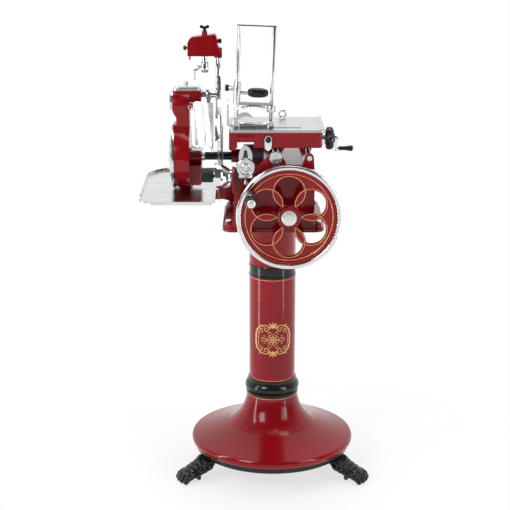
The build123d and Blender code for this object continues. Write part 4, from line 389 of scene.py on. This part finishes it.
def extruded_mesh(name, outline, thickness, matrix, ease=0.0, bevel=0.5, holes=()):
    """Plate from a closed 2-D outline, from local Z 0 up, with eased edges."""
    bm = bmesh.new()
    loops = [outline, *holes]
    edges = []
    for loop in loops:
        line = rounded(loop, ease, closed=True) if ease else loop
        verts = [bm.verts.new((x, y, 0)) for x, y in line]
        edges += [bm.edges.new((verts[i], verts[(i + 1) % len(verts)])) for i in range(len(verts))]
    bmesh.ops.triangle_fill(bm, use_beauty=True, edges=edges)
    bmesh.ops.recalc_face_normals(bm, faces=bm.faces)
    if bm.faces and sum(f.normal.z for f in bm.faces) > 0:
        bmesh.ops.reverse_faces(bm, faces=bm.faces)
    raised = bmesh.ops.extrude_face_region(bm, geom=list(bm.faces))
    bmesh.ops.translate(bm, vec=(0, 0, thickness),
                        verts=[g for g in raised["geom"] if isinstance(g, bmesh.types.BMVert)])
    bmesh.ops.recalc_face_normals(bm, faces=bm.faces)
    if bevel:
        rims = [e for e in bm.edges if len(e.link_faces) == 2 and e.calc_face_angle(0) > math.radians(50)
                and abs(e.verts[0].co.z - e.verts[1].co.z) < 1e-6]
        bmesh.ops.bevel(bm, geom=rims, offset=bevel, segments=2, profile=0.5, affect="EDGES",
                        clamp_overlap=True)
    mesh = bpy.data.meshes.new(name)
    bm.to_mesh(mesh)
    bm.free()
    mesh.transform(matrix)
    return mesh


def arc_points(cx, cy, radius, start, end, steps):
    return [(cx + radius * math.cos(math.radians(start + (end - start) * k / steps)),
             cy + radius * math.sin(math.radians(start + (end - start) * k / steps)))
            for k in range(steps + 1)]


def soften(node, width=0.6, segments=2, angle=35):
    """Eased edges on a CAD node, as modifiers on top of its own mesh."""
    obj = nodes[node]
    weld = obj.modifiers.new("weld", "WELD")
    weld.merge_threshold = 2e-6
    ease = obj.modifiers.new("ease", "BEVEL")
    ease.width = width * MM
    ease.segments = segments
    ease.limit_method = "ANGLE"
    ease.angle_limit = math.radians(angle)
    ease.harden_normals = True
    ease.use_clamp_overlap = True


# ------------------------------------------------------------------- flywheel
WHEEL = (47.5, -230.0, 924.0)
CRANK_R, CRANK_ANGLE = 138.0, math.radians(148)
STRIPE_R = 137.0
PETALS = [math.radians(30 + 60 * k) for k in range(6)]
PETAL_RING, PETAL_R, PETAL_SIDE_R = 82.0, 44.0, 54.0
CIRCLE_RING, CIRCLE_R = 80.0, 50.0
HUB_CLEAR_R = 36.5
wheel_front = facing_front(*WHEEL)

rim = lathe_mesh("flywheel_bright_rim", [
    (151, -19), (160.5, -19), (164.4, -17.2), (165.7, -12), (166, -6), (166, 6), (165.7, 12),
    (164.4, 17.2), (160.5, 19), (153, 19), (151, 17.5)], wheel_front, 192, 1.2, closed=True)
cap = lathe_mesh("hub_cap_turned", [
    (0, 25.4), (6, 25.6), (12, 25.4), (18, 24.8), (22.4, 23.6), (24, 21.8), (24, 20.2), (12.6, 20.2)],
    wheel_front, 96, 0.7)
piece("flywheel_rim_turned", rim, rim_look, "wheel", ("flywheel_rim",))
piece("hub_cap_turned", cap, cap_look, "wheel")
soften("flywheel", 0.8, 3, 40)


def wheel_face(u, v, h):
    """A point on the front of the wheel's web, or on the slope up to its rim seat."""
    r = math.hypot(u, v)
    if r < 133:
        z = 6.0
    elif r < 141:
        z = 6.0 + (r - 133) / 8 * 7.0
    else:
        z = 13.0
    return wheel_front @ Vector((u, v, z + 0.06 + h))


def circle_arcs(cx, cy, radius, keep, steps=220):
    """Stretches of a circle where keep(x, y) holds."""
    runs, run = [], []
    for k in range(steps + 1):
        a = 2 * math.pi * k / steps
        at = (cx + radius * math.cos(a), cy + radius * math.sin(a))
        if keep(*at):
            run.append(at)
        elif run:
            runs.append(run)
            run = []
    if run:
        runs.append(run)
    return [r for r in runs if len(r) > 3]


def in_petal(x, y, grow=0.0):
    away = [math.hypot(x - PETAL_RING * math.cos(a), y - PETAL_RING * math.sin(a)) for a in PETALS]
    return any(away[k] <= PETAL_R + grow and away[k - 1] > PETAL_SIDE_R - grow
               and away[(k + 1) % 6] > PETAL_SIDE_R - grow for k in range(6))




def on_web(x, y):
    """True where a painted circle has metal under it."""
    return not in_petal(x, y, 1.3) and math.hypot(x, y) > HUB_CLEAR_R


lines = [ribbon_mesh("pinstripe", arc_points(0, 0, STRIPE_R, 0, 358.5, 239), [2.1] * 240,
                     wheel_face, 0.25, closed=True)]
for a in PETALS:
    for run in circle_arcs(CIRCLE_RING * math.cos(a), CIRCLE_RING * math.sin(a), CIRCLE_R, on_web):
        lines.append(ribbon_mesh("pinstripe", run, [1.8] * len(run), wheel_face, 0.25))
piece("flywheel_pinstripes", joined("flywheel_pinstripes", lines), gold, "wheel", sharp=0)

# Crank handle: turned pin collar and end cap in chrome, swelling black grip.
crank_at = (WHEEL[0] + CRANK_R * math.cos(CRANK_ANGLE), WHEEL[1],
            WHEEL[2] + CRANK_R * math.sin(CRANK_ANGLE))
crank_front = facing_front(*crank_at)
piece("crank_grip_turned", lathe_mesh("crank_grip_turned", [
    (7.05, 29), (13, 29), (15.6, 31.5), (14.8, 40), (15.2, 52), (16.8, 72), (18.2, 92), (18.8, 112),
    (18.6, 128), (17.6, 138), (15.4, 143.4), (13.6, 145), (7.05, 145)], crank_front, 64, 2.5),
    knob_look, "crank_grip_body", ("crank_grip",))
piece("crank_pin_turned", lathe_mesh("crank_pin_turned", [
    (0, -13), (6, -13), (6, 17), (12, 17), (12.2, 24), (9, 28.6), (7, 28.6), (7, 145.4),
    (12.4, 145.4), (12.8, 147), (12.2, 149.6), (9.5, 151.2), (4, 151.8), (0, 151.9)], crank_front, 64, 0.6),
    cap_look, "wheel", ("crank_pin",))


# ------------------------------------------------------------------- pedestal
def ring_line(radius, z, width, rise=0.35):
    """Painted line round the pedestal axis."""
    return lathe_mesh("line", [(radius - 1, z - width / 2), (radius + rise, z - width / 2 + 0.3),
                               (radius + rise, z + width / 2 - 0.3), (radius - 1, z + width / 2)],
                      upright(0, 0, 0), 160, 0, closed=True)


# Scroll ornament on the column, in raised gold.
ORNAMENT = (1.5, 467.7)
COLUMN_R = 77.0


def on_column(u, v, h):
    """u is the distance round the column from its front line, v the height."""
    a = (u + ORNAMENT[0]) / COLUMN_R
    r = COLUMN_R + 0.05 + h
    return Vector((r * math.sin(a), -r * math.cos(a), v + ORNAMENT[1])) * MM


def spiral(cx, cy, start, turn, r0, r1, steps=40):
    """Points of a scroll that winds about (cx, cy) by turn degrees."""
    made = []
    for k in range(steps + 1):
        t = k / steps
        r = r0 * (r1 / r0) ** t
        a = math.radians(start + turn * t)
        made.append((cx + r * math.cos(a), cy + r * math.sin(a)))
    return made


def swelling(count, thin, thick):
    return [thin + (thick - thin) * math.sin(math.pi * k / (count - 1)) for k in range(count)]


def tapering(count, start, end):
    return [start + (end - start) * k / (count - 1) for k in range(count)]


def bezier(a, b, c, d, steps=24):
    made = []
    for k in range(steps + 1):
        t = k / steps
        s = 1 - t
        made.append(tuple(a[i] * s ** 3 + 3 * b[i] * s * s * t + 3 * c[i] * s * t * t + d[i] * t ** 3
                          for i in (0, 1)))
    return made


strokes = []


def stroke(points, widths, mirror_x=True, mirror_y=False):
    """A stroke and its mirror images about the ornament's middle."""
    for sx in ((1, -1) if mirror_x else (1,)):
        for sy in ((1, -1) if mirror_y else (1,)):
            strokes.append(ribbon_mesh("stroke", [(x * sx, y * sy) for x, y in points], widths,
                                       on_column, 0.55))


def leaf(x, y, angle, length, width, **mirrors):
    a = math.radians(angle)
    points = [(x + length * math.cos(a) * k / 12, y + length * math.sin(a) * k / 12) for k in range(13)]
    stroke(points, [0.3 + width * math.sin(math.pi * min(1, (k / 12) ** 0.7)) for k in range(13)],
           **mirrors)


# Side frames: a long C on each side that ends in a scroll above and below.
side = bezier((20, 50), (52, 52), (66, 24), (62, 0)) + bezier((62, 0), (66, -24), (52, -52), (20, -50))[1:]
stroke(side, swelling(len(side), 2.2, 7.0))
inner = bezier((24, 43), (46, 42), (55, 20), (52, 0)) + bezier((52, 0), (55, -20), (46, -42), (24, -43))[1:]
stroke(inner, swelling(len(inner), 1.2, 2.2))
stroke(spiral(24, 37, 100, 420, 13, 2.6), tapering(41, 3.0, 1.6), mirror_y=True)
stroke(spiral(41, 28, 60, 330, 9, 2.2), tapering(41, 2.4, 1.3), mirror_y=True)
stroke(spiral(10, 50, -60, -360, 10, 2.4), tapering(41, 2.8, 1.4), mirror_y=True)
# Crown and foot of the frame: a bud between two leaves.
leaf(0, 38, 90, 25, 5.5, mirror_x=False, mirror_y=True)
leaf(3, 44, 62, 18, 4.2, mirror_y=True)
leaf(5, 42, 25, 13, 3.4, mirror_y=True)
leaf(57, 30, 40, 9, 3.0, mirror_y=True)
leaf(62, 13, 15, 6, 3.2, mirror_y=True)
leaf(44, 46, 55, 9, 3.0, mirror_y=True)
leaf(33, 15, 200, 9, 2.2, mirror_y=True)
# Middle: an eight-petal rosette in a ring, with a small spray on each side.
stroke(arc_points(0, 0, 19, 0, 360, 60), [1.8] * 61, mirror_x=False)
stroke(arc_points(0, 0, 4, 0, 360, 24), [2.6] * 25, mirror_x=False)
for k in range(8):
    leaf(6.5 * math.cos(math.radians(45 * k)), 6.5 * math.sin(math.radians(45 * k)), 45 * k, 10.5, 4.6,
         mirror_x=False)
stroke(bezier((21, 0), (30, 12), (40, 8), (40, 0), 20), tapering(21, 2.2, 1.4), mirror_y=True)
stroke(spiral(33, 0, 0, 300, 6, 1.8, 24), tapering(25, 1.6, 1.0), mirror_x=True)
stroke(bezier((6, 23), (12, 34), (22, 22), (14, 18), 20), tapering(21, 2.2, 1.2), mirror_y=True)
piece("column_ornament", joined("column_ornament", strokes), gold, "frame", sharp=0)

# Thin gold lines beside the black collars.
COLLAR_TOP = 317.0
BAND_FOOT = 676.0
BELL_NECK_R, BELL_NECK_Z = 85.4, 258.5
lines = [ring_line(COLUMN_R, COLLAR_TOP + 4, 2.2), ring_line(COLUMN_R, BAND_FOOT - 4, 2.2),
         ring_line(BELL_NECK_R, BELL_NECK_Z, 2.6)]
piece("pedestal_lines", joined("pedestal_lines", lines), gold, "frame", sharp=0)


# ------------------------------------------------------------------ lion feet
PAW_FLOOR, PAW_TOP, PAW_REACH = 0.15, 67.6, 364.5
TOE_PITCH = 17.5


def lump(bm, centre, radii, turn=(0, 0, 0)):
    """Ellipsoid in millimetres, for sculpting."""
    made = bmesh.ops.create_icosphere(bm, subdivisions=3, radius=1.0)
    spin = Matrix.Rotation(math.radians(turn[2]), 4, "Z") @ Matrix.Rotation(math.radians(turn[1]), 4, "Y")
    size = Matrix.Diagonal((*radii, 1.0))
    bmesh.ops.transform(bm, verts=made["verts"], matrix=Matrix.Translation(centre) @ spin @ size)


def sculpted(name, bm, voxel, smooth):
    """The lumps fused into one skin."""
    mesh = bpy.data.meshes.new(name)
    bm.to_mesh(mesh)
    bm.free()
    obj = bpy.data.objects.new(name, mesh)
    scene.collection.objects.link(obj)
    fuse = obj.modifiers.new("fuse", "REMESH")
    fuse.mode = "VOXEL"
    fuse.voxel_size = voxel
    ease = obj.modifiers.new("ease", "SMOOTH")
    ease.iterations = smooth
    ease.factor = 0.5
    made = bpy.data.meshes.new_from_object(obj.evaluated_get(bpy.context.evaluated_depsgraph_get()))
    bpy.data.objects.remove(obj)
    bpy.data.meshes.remove(mesh)
    made.name = name
    return made


def paw_mesh():
    """Lion paw along +X from the ring's underside, standing on Z 0, in millimetres."""
    bm = bmesh.new()
    # Leg: thick where it leaves the ring, hollow behind the ankle.
    for x, z, wide, thick in ((236, 66, 41, 12), (250, 60, 40, 20), (264, 52, 37, 24), (280, 45, 33, 25),
                              (296, 39, 31, 24), (312, 33, 32, 22), (326, 27, 34, 19)):
        lump(bm, (x, 0, z), (18, wide, thick), (0, 28, 0))
    # Toes with raised knuckles, the outer two shorter and splayed.
    for i in range(4):
        away = i - 1.5
        spread = away * 7.0
        y = away * TOE_PITCH
        back = abs(away) * 4.5
        lump(bm, (334 - back, y * 0.9, 25), (19, 10.5, 15.5), (0, 14, spread))
        lump(bm, (347 - back, y, 19), (13, 9.8, 13.5), (0, 32, spread))
        lump(bm, (355 - back, y * 1.03, 10.5), (9.5, 9.2, 10.4), (0, 10, spread))
    # Locks of hair down the leg, each a long ridge that ends in a curl.
    for i in range(7):
        away = (i - 3) / 3
        lump(bm, (268 + 3 * abs(away), away * 31, 66 - 9 * away * away), (26, 5.2, 7.5),
             (0, 24 + 10 * abs(away), -away * 10))
        lump(bm, (296 + 2 * abs(away), away * 27, 54 - 10 * away * away), (22, 4.6, 7.0),
             (0, 26, away * 4))
        lump(bm, (318, away * 27, 42 - 9 * away * away), (15, 4.2, 6.0), (0, 24, away * 6))
    for side in (-1, 1):
        for k in range(4):
            lump(bm, (262 + 15 * k, side * (38 - 2.2 * k), 47 - 6.5 * k), (15, 5, 7.5),
                 (0, 40, side * -8))
        lump(bm, (300, side * 27, 16), (8, 7, 10), (0, 20, 0))
    mesh = sculpted("paw", bm, 1.5, 2)
    for v in mesh.vertices:
        x, y, z = v.co
        # Fine grooves between the hairs, fading towards the toes.
        fade = max(0.0, min(1.0, (338 - x) / 40))
        groove = math.sin(y * 1.25 + 1.6 * math.sin(x * 0.06)) * 0.55 * fade
        v.co += v.normal * groove
        v.co.z = max(PAW_FLOOR, min(v.co.z, PAW_TOP))
        reach = math.hypot(v.co.x, v.co.y)
        if reach > PAW_REACH:
            v.co.x *= PAW_REACH / reach
            v.co.y *= PAW_REACH / reach
    return mesh


def claw_mesh(matrix):
    """One curved claw, in millimetres."""
    path = [(0, 0, 0), (4, 0, 1.2), (8, 0, 0.4), (11.5, 0, -2.6), (13.5, 0, -6.6)]
    verts, faces = [], []
    sides = 10
    for i, (x, y, z) in enumerate(path):
        r = (4.2, 4.0, 3.3, 2.2, 0.5)[i]
        for k in range(sides):
            a = 2 * math.pi * k / sides
            verts.append((x, y + r * 0.85 * math.cos(a), z + r * math.sin(a)))
    for i in range(len(path) - 1):
        for k in range(sides):
            n = (k + 1) % sides
            faces.append((i * sides + k, i * sides + n, (i + 1) * sides + n, (i + 1) * sides + k))
    faces.append(tuple(range((len(path) - 1) * sides, len(path) * sides)))
    return mesh_from("claw", verts, faces, matrix)


paw = paw_mesh()
claws = []
for i in range(4):
    away = i - 1.5
    seat = Matrix.Translation((349 - abs(away) * 4.5, away * 18, 11.5))
    claws.append(claw_mesh(seat @ Matrix.Rotation(math.radians(away * 7), 4, "Z")))
one_foot = joined("one_foot", [paw, *claws])
feet = []
for angle in (-150, -30, 90):
    copy = one_foot.copy()
    copy.transform(Matrix.Scale(MM, 4) @ Matrix.Rotation(math.radians(angle), 4, "Z"))
    feet.append(copy)
bpy.data.meshes.remove(one_foot)
piece("lion_feet_sculpted", joined("lion_feet_sculpted", feet), black, "frame",
      ("lion_feet",), sharp=0)


# ------------------------------------------------------- machine: turned parts
def knurl(depth, count, grown_from):
    """Diamond teeth on the outer skin of a grip."""
    def raised(a, r, z):
        if r < grown_from:
            return 0.0
        left = math.cos(count * a + z * 1.2)
        right = math.cos(count * a - z * 1.2)
        return -depth + depth * max(left, right)
    return raised


def stepped(low, high, count):
    return [low + (high - low) * k / count for k in range(count + 1)]


def turned_line(points, step):
    """Profile with long straight runs divided, so that a relief can follow it."""
    made = [points[0]]
    for (r0, z0), (r1, z1) in zip(points, points[1:]):
        count = max(1, int(math.hypot(r1 - r0, z1 - z0) / step))
        made += [(r0 + (r1 - r0) * k / count, z0 + (z1 - z0) * k / count) for k in range(1, count + 1)]
    return made


# Thickness regulator: knurled black knob on its pin.
KNOB_AT = (-189.0, -190.0, 1046.0)
piece("adjusting_knob_knurled", lathe_mesh("adjusting_knob_knurled", [
    (0, -70), (9.4, -70), (10, -69.4), (10, -66.4), (6, -66.4), (6, -0.02), (17.6, 0), (19.2, 0.8)]
    + [(20, z) for z in stepped(2, 35, 34)]
    + [(19.2, 36.6), (16.5, 38), (10, 38), (8.6, 37.2), (0, 37)], facing_left(*KNOB_AT), 144, 0,
    wobble=knurl(0.8, 24, 19.9)), knob_look, "knob_body", ("adjusting_knob",), 60)

# Feed screw with a rounded thread between its two bearings.
SCREW_START, SCREW_END = -124.0, 138.0
SCREW_Y, SCREW_Z = -110.0, 1152.0
FEED_GRIP_DROP = 32.0
HANDWHEEL_X = 164.4
THREAD_PITCH = 8.0
THREAD_DEPTH = 0.9


def thread(a, r, z):
    turn = (z / THREAD_PITCH - a / (2 * math.pi)) % 1.0
    fade = min(1.0, z / 6.0, (SCREW_END - SCREW_START - z) / 6.0)
    return -THREAD_DEPTH * (1 - abs(2 * turn - 1)) ** 0.6 * max(0.0, fade)


feed_axis = facing_right(SCREW_START, SCREW_Y, SCREW_Z)
screw_line = [(6.0, z) for z in stepped(0, SCREW_END - SCREW_START, 260)]
feed_screw = [
    lathe_mesh("feed_thread", screw_line, feed_axis, 32, 0, wobble=thread),
    lathe_mesh("feed_collar", [(0, -14), (5.6, -14), (6, -13.4), (6, -2.6), (10, -2.6), (10, 0.4),
                               (9.4, 1.0), (5.4, 1.0)], feed_axis, 48, 0.3),
    lathe_mesh("feed_tail", [(6, 262), (6, 328.4), (5.2, 329.3), (0, 329.3)], feed_axis, 48, 0.4)]
piece("feed_screw_cut", joined("feed_screw_cut", feed_screw), steel, "feed_screw_body",
      ("feed_screw",), 45)


def lobes(a, r, z):
    """Six finger hollows round the handwheel."""
    if r < 20:
        return 0.0
    share = min(1.0, (r - 20) / 14)
    dip = 0.5 + 0.5 * math.cos(6 * (a - math.radians(30)))
    return -6.2 * share * dip ** 3


wheel_hub = facing_right(HANDWHEEL_X, SCREW_Y, SCREW_Z)
piece("feed_handwheel_moulded", lathe_mesh("feed_handwheel_moulded", turned_line([
    (6.0, 0.2), (27, 0.2), (34, 3), (36.9, 9), (36.9, 17), (34, 23), (27, 26), (22, 25.4), (16, 24.4),
    (14, 25.6), (13, 29.8), (6.0, 29.8)], 1.6), wheel_hub, 144, 0.6, wobble=lobes),
    knob_look, "feed_screw_body", ("feed_handwheel",), 50)

feed_grip_axis = facing_right(0, SCREW_Y, SCREW_Z - FEED_GRIP_DROP)
piece("feed_crank_grip_turned", lathe_mesh("feed_crank_grip_turned", [
    (4.05, 207.4), (6, 207.4), (6.8, 209), (6.4, 214), (6.4, 224), (7.4, 233), (8.9, 241), (9.4, 246),
    (9.0, 249.4), (7.4, 251.2), (4.05, 251.3)], feed_grip_axis, 48, 1.2),
    knob_look, "feed_grip_body", ("feed_crank_grip",))

# Dial: raised rim, engraved scale ticks and a bright boss.
DIAL_AT = (-88.0, -183.4, 1072.0)
dial_front = facing_front(*DIAL_AT)


def dial_face(u, v, h):
    return dial_front @ Vector((u, v, 7.06 + h))


ticks = []
for k in range(40):
    a = 2 * math.pi * k / 40
    inner = 16.6 if k % 4 == 0 else 18.6
    run = [(r * math.cos(a), r * math.sin(a)) for r in stepped(inner, 21.6, 3)]
    ticks.append(ribbon_mesh("tick", run, [0.75 if k % 4 == 0 else 0.5] * 4, dial_face, 0.12))
for k in range(10):
    a = 2 * math.pi * k / 10
    ticks.append(ribbon_mesh("dot", arc_points(14.9 * math.cos(a), 14.9 * math.sin(a), 0.55, 0, 330, 11),
                             [0.7] * 12, dial_face, 0.1, closed=True))
piece("dial_scale", joined("dial_scale", ticks), knob_look, "dial_body", sharp=0)
piece("dial_turned", joined("dial_turned", [
    lathe_mesh("dial_disc", [
        (5.05, 0), (28, 0), (29, 1), (29, 7), (28.4, 8.4), (27, 9), (23.4, 9), (22.6, 8.4), (22, 7),
        (14, 7), (13.4, 7.6), (12, 11.4), (11, 12), (5.05, 12)], dial_front, 128, 0.5, closed=True),
    lathe_mesh("dial_stem", [(0, -28), (3, -27.6), (5.6, -25.4), (7, -22), (7, -16.4), (5.4, -13.4),
                             (3.4, -12), (3.4, 1), (0, 1)],
               upright(DIAL_AT[0], DIAL_AT[1] - 4.5, DIAL_AT[2] - 27), 48, 1.0)]),
    rim_look, "dial_body", ("thickness_dial",), 40)

# Meat clamp: swelling grip and knurled tightener, on the leaning line of the posts.
LEAN = math.radians(2.2)
CLAMP_FOOT = (-63.7, -105.0, 1205.4)


def on_yoke(x, z):
    """Row-frame point on the yoke, from the foot of its middle line."""
    return (CLAMP_FOOT[0] + x * math.cos(LEAN) + z * math.sin(LEAN), CLAMP_FOOT[1],
            CLAMP_FOOT[2] - x * math.sin(LEAN) + z * math.cos(LEAN))


along_yoke = Vector((math.cos(LEAN), 0, -math.sin(LEAN)))
piece("clamp_grip_turned", lathe_mesh("clamp_grip_turned", [
    (0, 0), (7.5, 0), (9.4, 1), (12.4, 6), (14.6, 14), (15.4, 24), (15.5, 32), (15.2, 40), (14, 50),
    (11.4, 58), (8.4, 62.6), (5, 64), (0, 64)], place(on_yoke(-20.5, 90), (0, 1, 0), along_yoke), 64, 1.5),
    knob_look, "yoke_body", ("clamp_grip",))
piece("clamp_tightener_knurled", lathe_mesh("clamp_tightener_knurled", [
    (0, -18.0), (3.5, -18.0), (3.5, -0.02), (8.6, 0), (10, 0.8)] + [(10.5, z) for z in stepped(2, 9, 12)]
    + [(9.6, 10.4), (8, 12), (4, 12.2), (0, 12.2)],
    place(on_yoke(-80.8, 102), (0, -1, 0), -along_yoke), 96, 0, wobble=knurl(0.5, 16, 10.4)),
    knob_look, "tightener_body", ("clamp_tightener",), 60)

# Apron that closes the front of the carriage beside the lever, above the claw.
APRON_X = (-134, -58)
APRON_Z = (1147, 1176)
APRON_Y = -154
piece("carriage_apron", extruded_mesh("carriage_apron", [
    (APRON_X[0], APRON_Z[0]), (APRON_X[1], APRON_Z[0]), (APRON_X[1], APRON_Z[1]),
    (APRON_X[0], APRON_Z[1])], 5, facing_front(0, APRON_Y, 0), 2.0, 0.8),
    red, "carriage_body")

# Sharpener: turned cup with its cross pin, and the stone below it.
STONE_AT = (-220.0, 20.0)
cup = lathe_mesh("sharpener_cup", [
    (0, 1352.02), (11, 1352.02), (12.4, 1352.6), (13, 1354), (13, 1373), (12.6, 1375.6), (11, 1377),
    (9.2, 1377.6), (8.8, 1380), (8.8, 1398), (9, 1403), (4, 1403), (4, 1438.4), (3, 1439), (0, 1439)],
    upright(*STONE_AT, 0), 64, 0.6)
cross_pin = lathe_mesh("sharpener_pin", [(0, -14), (4, -14), (4, 0), (2.5, 0), (2.5, 5.6), (4.4, 5.6),
                                         (4.5, 7), (3.6, 8), (0, 8)], facing_left(-237, 20, 1361), 32, 0.4)
piece("stone_carrier_turned", joined("stone_carrier_turned", [cup, cross_pin]), chrome, "sharpener_body",
      ("stone_carrier",))
piece("sharpening_stone", lathe_mesh("sharpening_stone", [
    (0, 1345), (10, 1345), (10.8, 1345.6), (11, 1346.6), (11, 1352), (0, 1352)],
    upright(*STONE_AT, 0), 64, 0.5), stone, "sharpener_body")

# Finishes that differ from the rest of their group.
dress(nodes["slice_deflector"], alu)
dress(nodes["shaft_bushes"], steel)
dress(nodes["lid_knob"], cap_look)


# --------------------------------------------- eased edges on the CAD castings
for name in ("machine_body", "machine_plate", "carriage", "gear_column", "column_head", "sharpener_hood",
             "column_covers", "column_lid", "gear_cover", "column_arm", "bell_housing"):
    soften(name, 1.2, 3)
for name in ("blade_guard", "clamp_frame", "clamp_saddle", "clamp_yoke", "meat_table", "table_fittings",
             "fence_plate", "tray", "press_plate", "slice_deflector", "deflector_arm", "feed_crank",
             "stop_lever", "latch_lever", "tripping_claw", "base_ring",
             "trip_lever", "wing_knob", "lid_knob", "slide_rods", "sharpener_post", "blade"):
    soften(name, 0.5, 2)
# ---------------------------------------------------------- floor and light
def stage_plane(name, corners, material):
    mesh = bpy.data.meshes.new(name)
    mesh.from_pydata(corners, [], [tuple(range(len(corners)))])
    obj = bpy.data.objects.new(name, mesh)
    scene.collection.objects.link(obj)
    obj.data.materials.append(material)
    return obj


floor_look = Look("studio_floor", (0.93, 0.93, 0.93), 0.0, 0.6)
floor_look.rough(floor_look.noise(4, 3), 0.55, 0.7)
floor_look.bump(floor_look.noise(60, 2), 0.05, 0.2)
# The paper is white wherever it is looked at, and keeps a share of its own shading near the feet.
paper = floor_look.node("ShaderNodeEmission")
paper.inputs["Color"].default_value = (1, 1, 1, 1)
paper.inputs["Strength"].default_value = 1.0
reach = floor_look.node("ShaderNodeVectorMath", operation="LENGTH")
floor_look.link(floor_look.coords, reach.inputs[0])
whiteness = floor_look.ranged(reach.outputs["Value"], 0.70, 1.0, 0.42, 0.95)
looked_at = floor_look.node("ShaderNodeLightPath")
glanced = floor_look.node("ShaderNodeMath", operation="MAXIMUM")
floor_look.link(looked_at.outputs["Is Camera Ray"], glanced.inputs[0])
floor_look.link(looked_at.outputs["Is Glossy Ray"], glanced.inputs[1])
shown = floor_look.node("ShaderNodeMath", operation="MAXIMUM")
floor_look.link(glanced.outputs["Value"], shown.inputs[0])
floor_look.link(looked_at.outputs["Is Transmission Ray"], shown.inputs[1])
share = floor_look.node("ShaderNodeMath", operation="MULTIPLY")
floor_look.link(shown.outputs["Value"], share.inputs[0])
floor_look.link(whiteness, share.inputs[1])
blend = floor_look.node("ShaderNodeMixShader")
floor_look.link(share.outputs["Value"], blend.inputs["Fac"])
floor_look.link(floor_look.shader.outputs["BSDF"], blend.inputs[1])
floor_look.link(paper.outputs["Emission"], blend.inputs[2])
floor_look.link(blend.outputs["Shader"], floor_look.tree.nodes["Material Output"].inputs["Surface"])
stage_plane("studio_floor", [(-14, -9, 0), (14, -9, 0), (14, 14, 0), (-14, 14, 0)], floor_look.mat)

# The room: white behind the object, a dim studio in front of it, white to the camera itself.
world = bpy.data.worlds.new("studio")
scene.world = world
world.use_nodes = True
wt = world.node_tree
around = wt.nodes["Background"]
clean = wt.nodes.new("ShaderNodeBackground")
clean.inputs["Color"].default_value = (1, 1, 1, 1)
clean.inputs["Strength"].default_value = 1.0
towards = wt.nodes.new("ShaderNodeTexCoord")
parts = wt.nodes.new("ShaderNodeSeparateXYZ")
wt.links.new(towards.outputs["Generated"], parts.inputs["Vector"])
falloff = wt.nodes.new("ShaderNodeMapRange")
falloff.interpolation_type = "SMOOTHSTEP"
falloff.inputs["From Min"].default_value = -0.35
falloff.inputs["From Max"].default_value = 0.55
falloff.inputs["To Min"].default_value = 0.10
falloff.inputs["To Max"].default_value = 1.0
wt.links.new(parts.outputs["Y"], falloff.inputs["Value"])
around.inputs["Color"].default_value = (1, 1, 1, 1)
wt.links.new(falloff.outputs["Result"], around.inputs["Strength"])
seen = wt.nodes.new("ShaderNodeLightPath")
either = wt.nodes.new("ShaderNodeMath")
either.operation = "MAXIMUM"
wt.links.new(seen.outputs["Is Camera Ray"], either.inputs[0])
wt.links.new(seen.outputs["Is Transmission Ray"], either.inputs[1])
choose = wt.nodes.new("ShaderNodeMixShader")
wt.links.new(either.outputs["Value"], choose.inputs["Fac"])
wt.links.new(around.outputs["Background"], choose.inputs[1])
wt.links.new(clean.outputs["Background"], choose.inputs[2])
wt.links.new(choose.outputs["Shader"], wt.nodes["World Output"].inputs["Surface"])


def lamp(name, where, aim, size, power):
    data = bpy.data.lights.new(name, "AREA")
    data.shape = "RECTANGLE"
    data.size, data.size_y = size
    data.energy = power
    obj = bpy.data.objects.new(name, data)
    scene.collection.objects.link(obj)
    obj.location = where
    obj.rotation_mode = "QUATERNION"
    obj.rotation_quaternion = (Vector(aim) - Vector(where)).to_track_quat("-Z", "Y")
    return obj


lamp("key_softbox", (-2.2, -2.6, 2.7), (0, 0, 0.95), (1.2, 1.8), 62)
lamp("fill_softbox", (2.6, -2.2, 1.9), (0, 0, 0.8), (1.2, 2.2), 30)
lamp("left_strip", (-1.25, -0.45, 0.80), (0, 0, 0.80), (0.10, 1.5), 7)
lamp("right_strip", (1.35, -0.95, 0.62), (0, 0, 0.62), (0.06, 1.1), 3)
lamp("top_softbox", (0.2, 0.2, 3.6), (0, 0, 1.0), (2.2, 1.6), 38)

SENSOR_MM = 36.0
FOCAL_PX, PICTURE_PX = 1250, 510
CAMERA_AT = (-0.0585, -4.029, 1.805)
LOOKS_DOWN = 14.8
camera_data = bpy.data.cameras.new("camera")
camera_data.sensor_width = SENSOR_MM
camera_data.lens = FOCAL_PX / PICTURE_PX * SENSOR_MM
camera = bpy.data.objects.new("camera", camera_data)
scene.collection.objects.link(camera)
camera.location = CAMERA_AT
camera.rotation_euler = (math.radians(90 - LOOKS_DOWN), 0, 0)
scene.camera = camera
scene.view_settings.view_transform = "Standard"
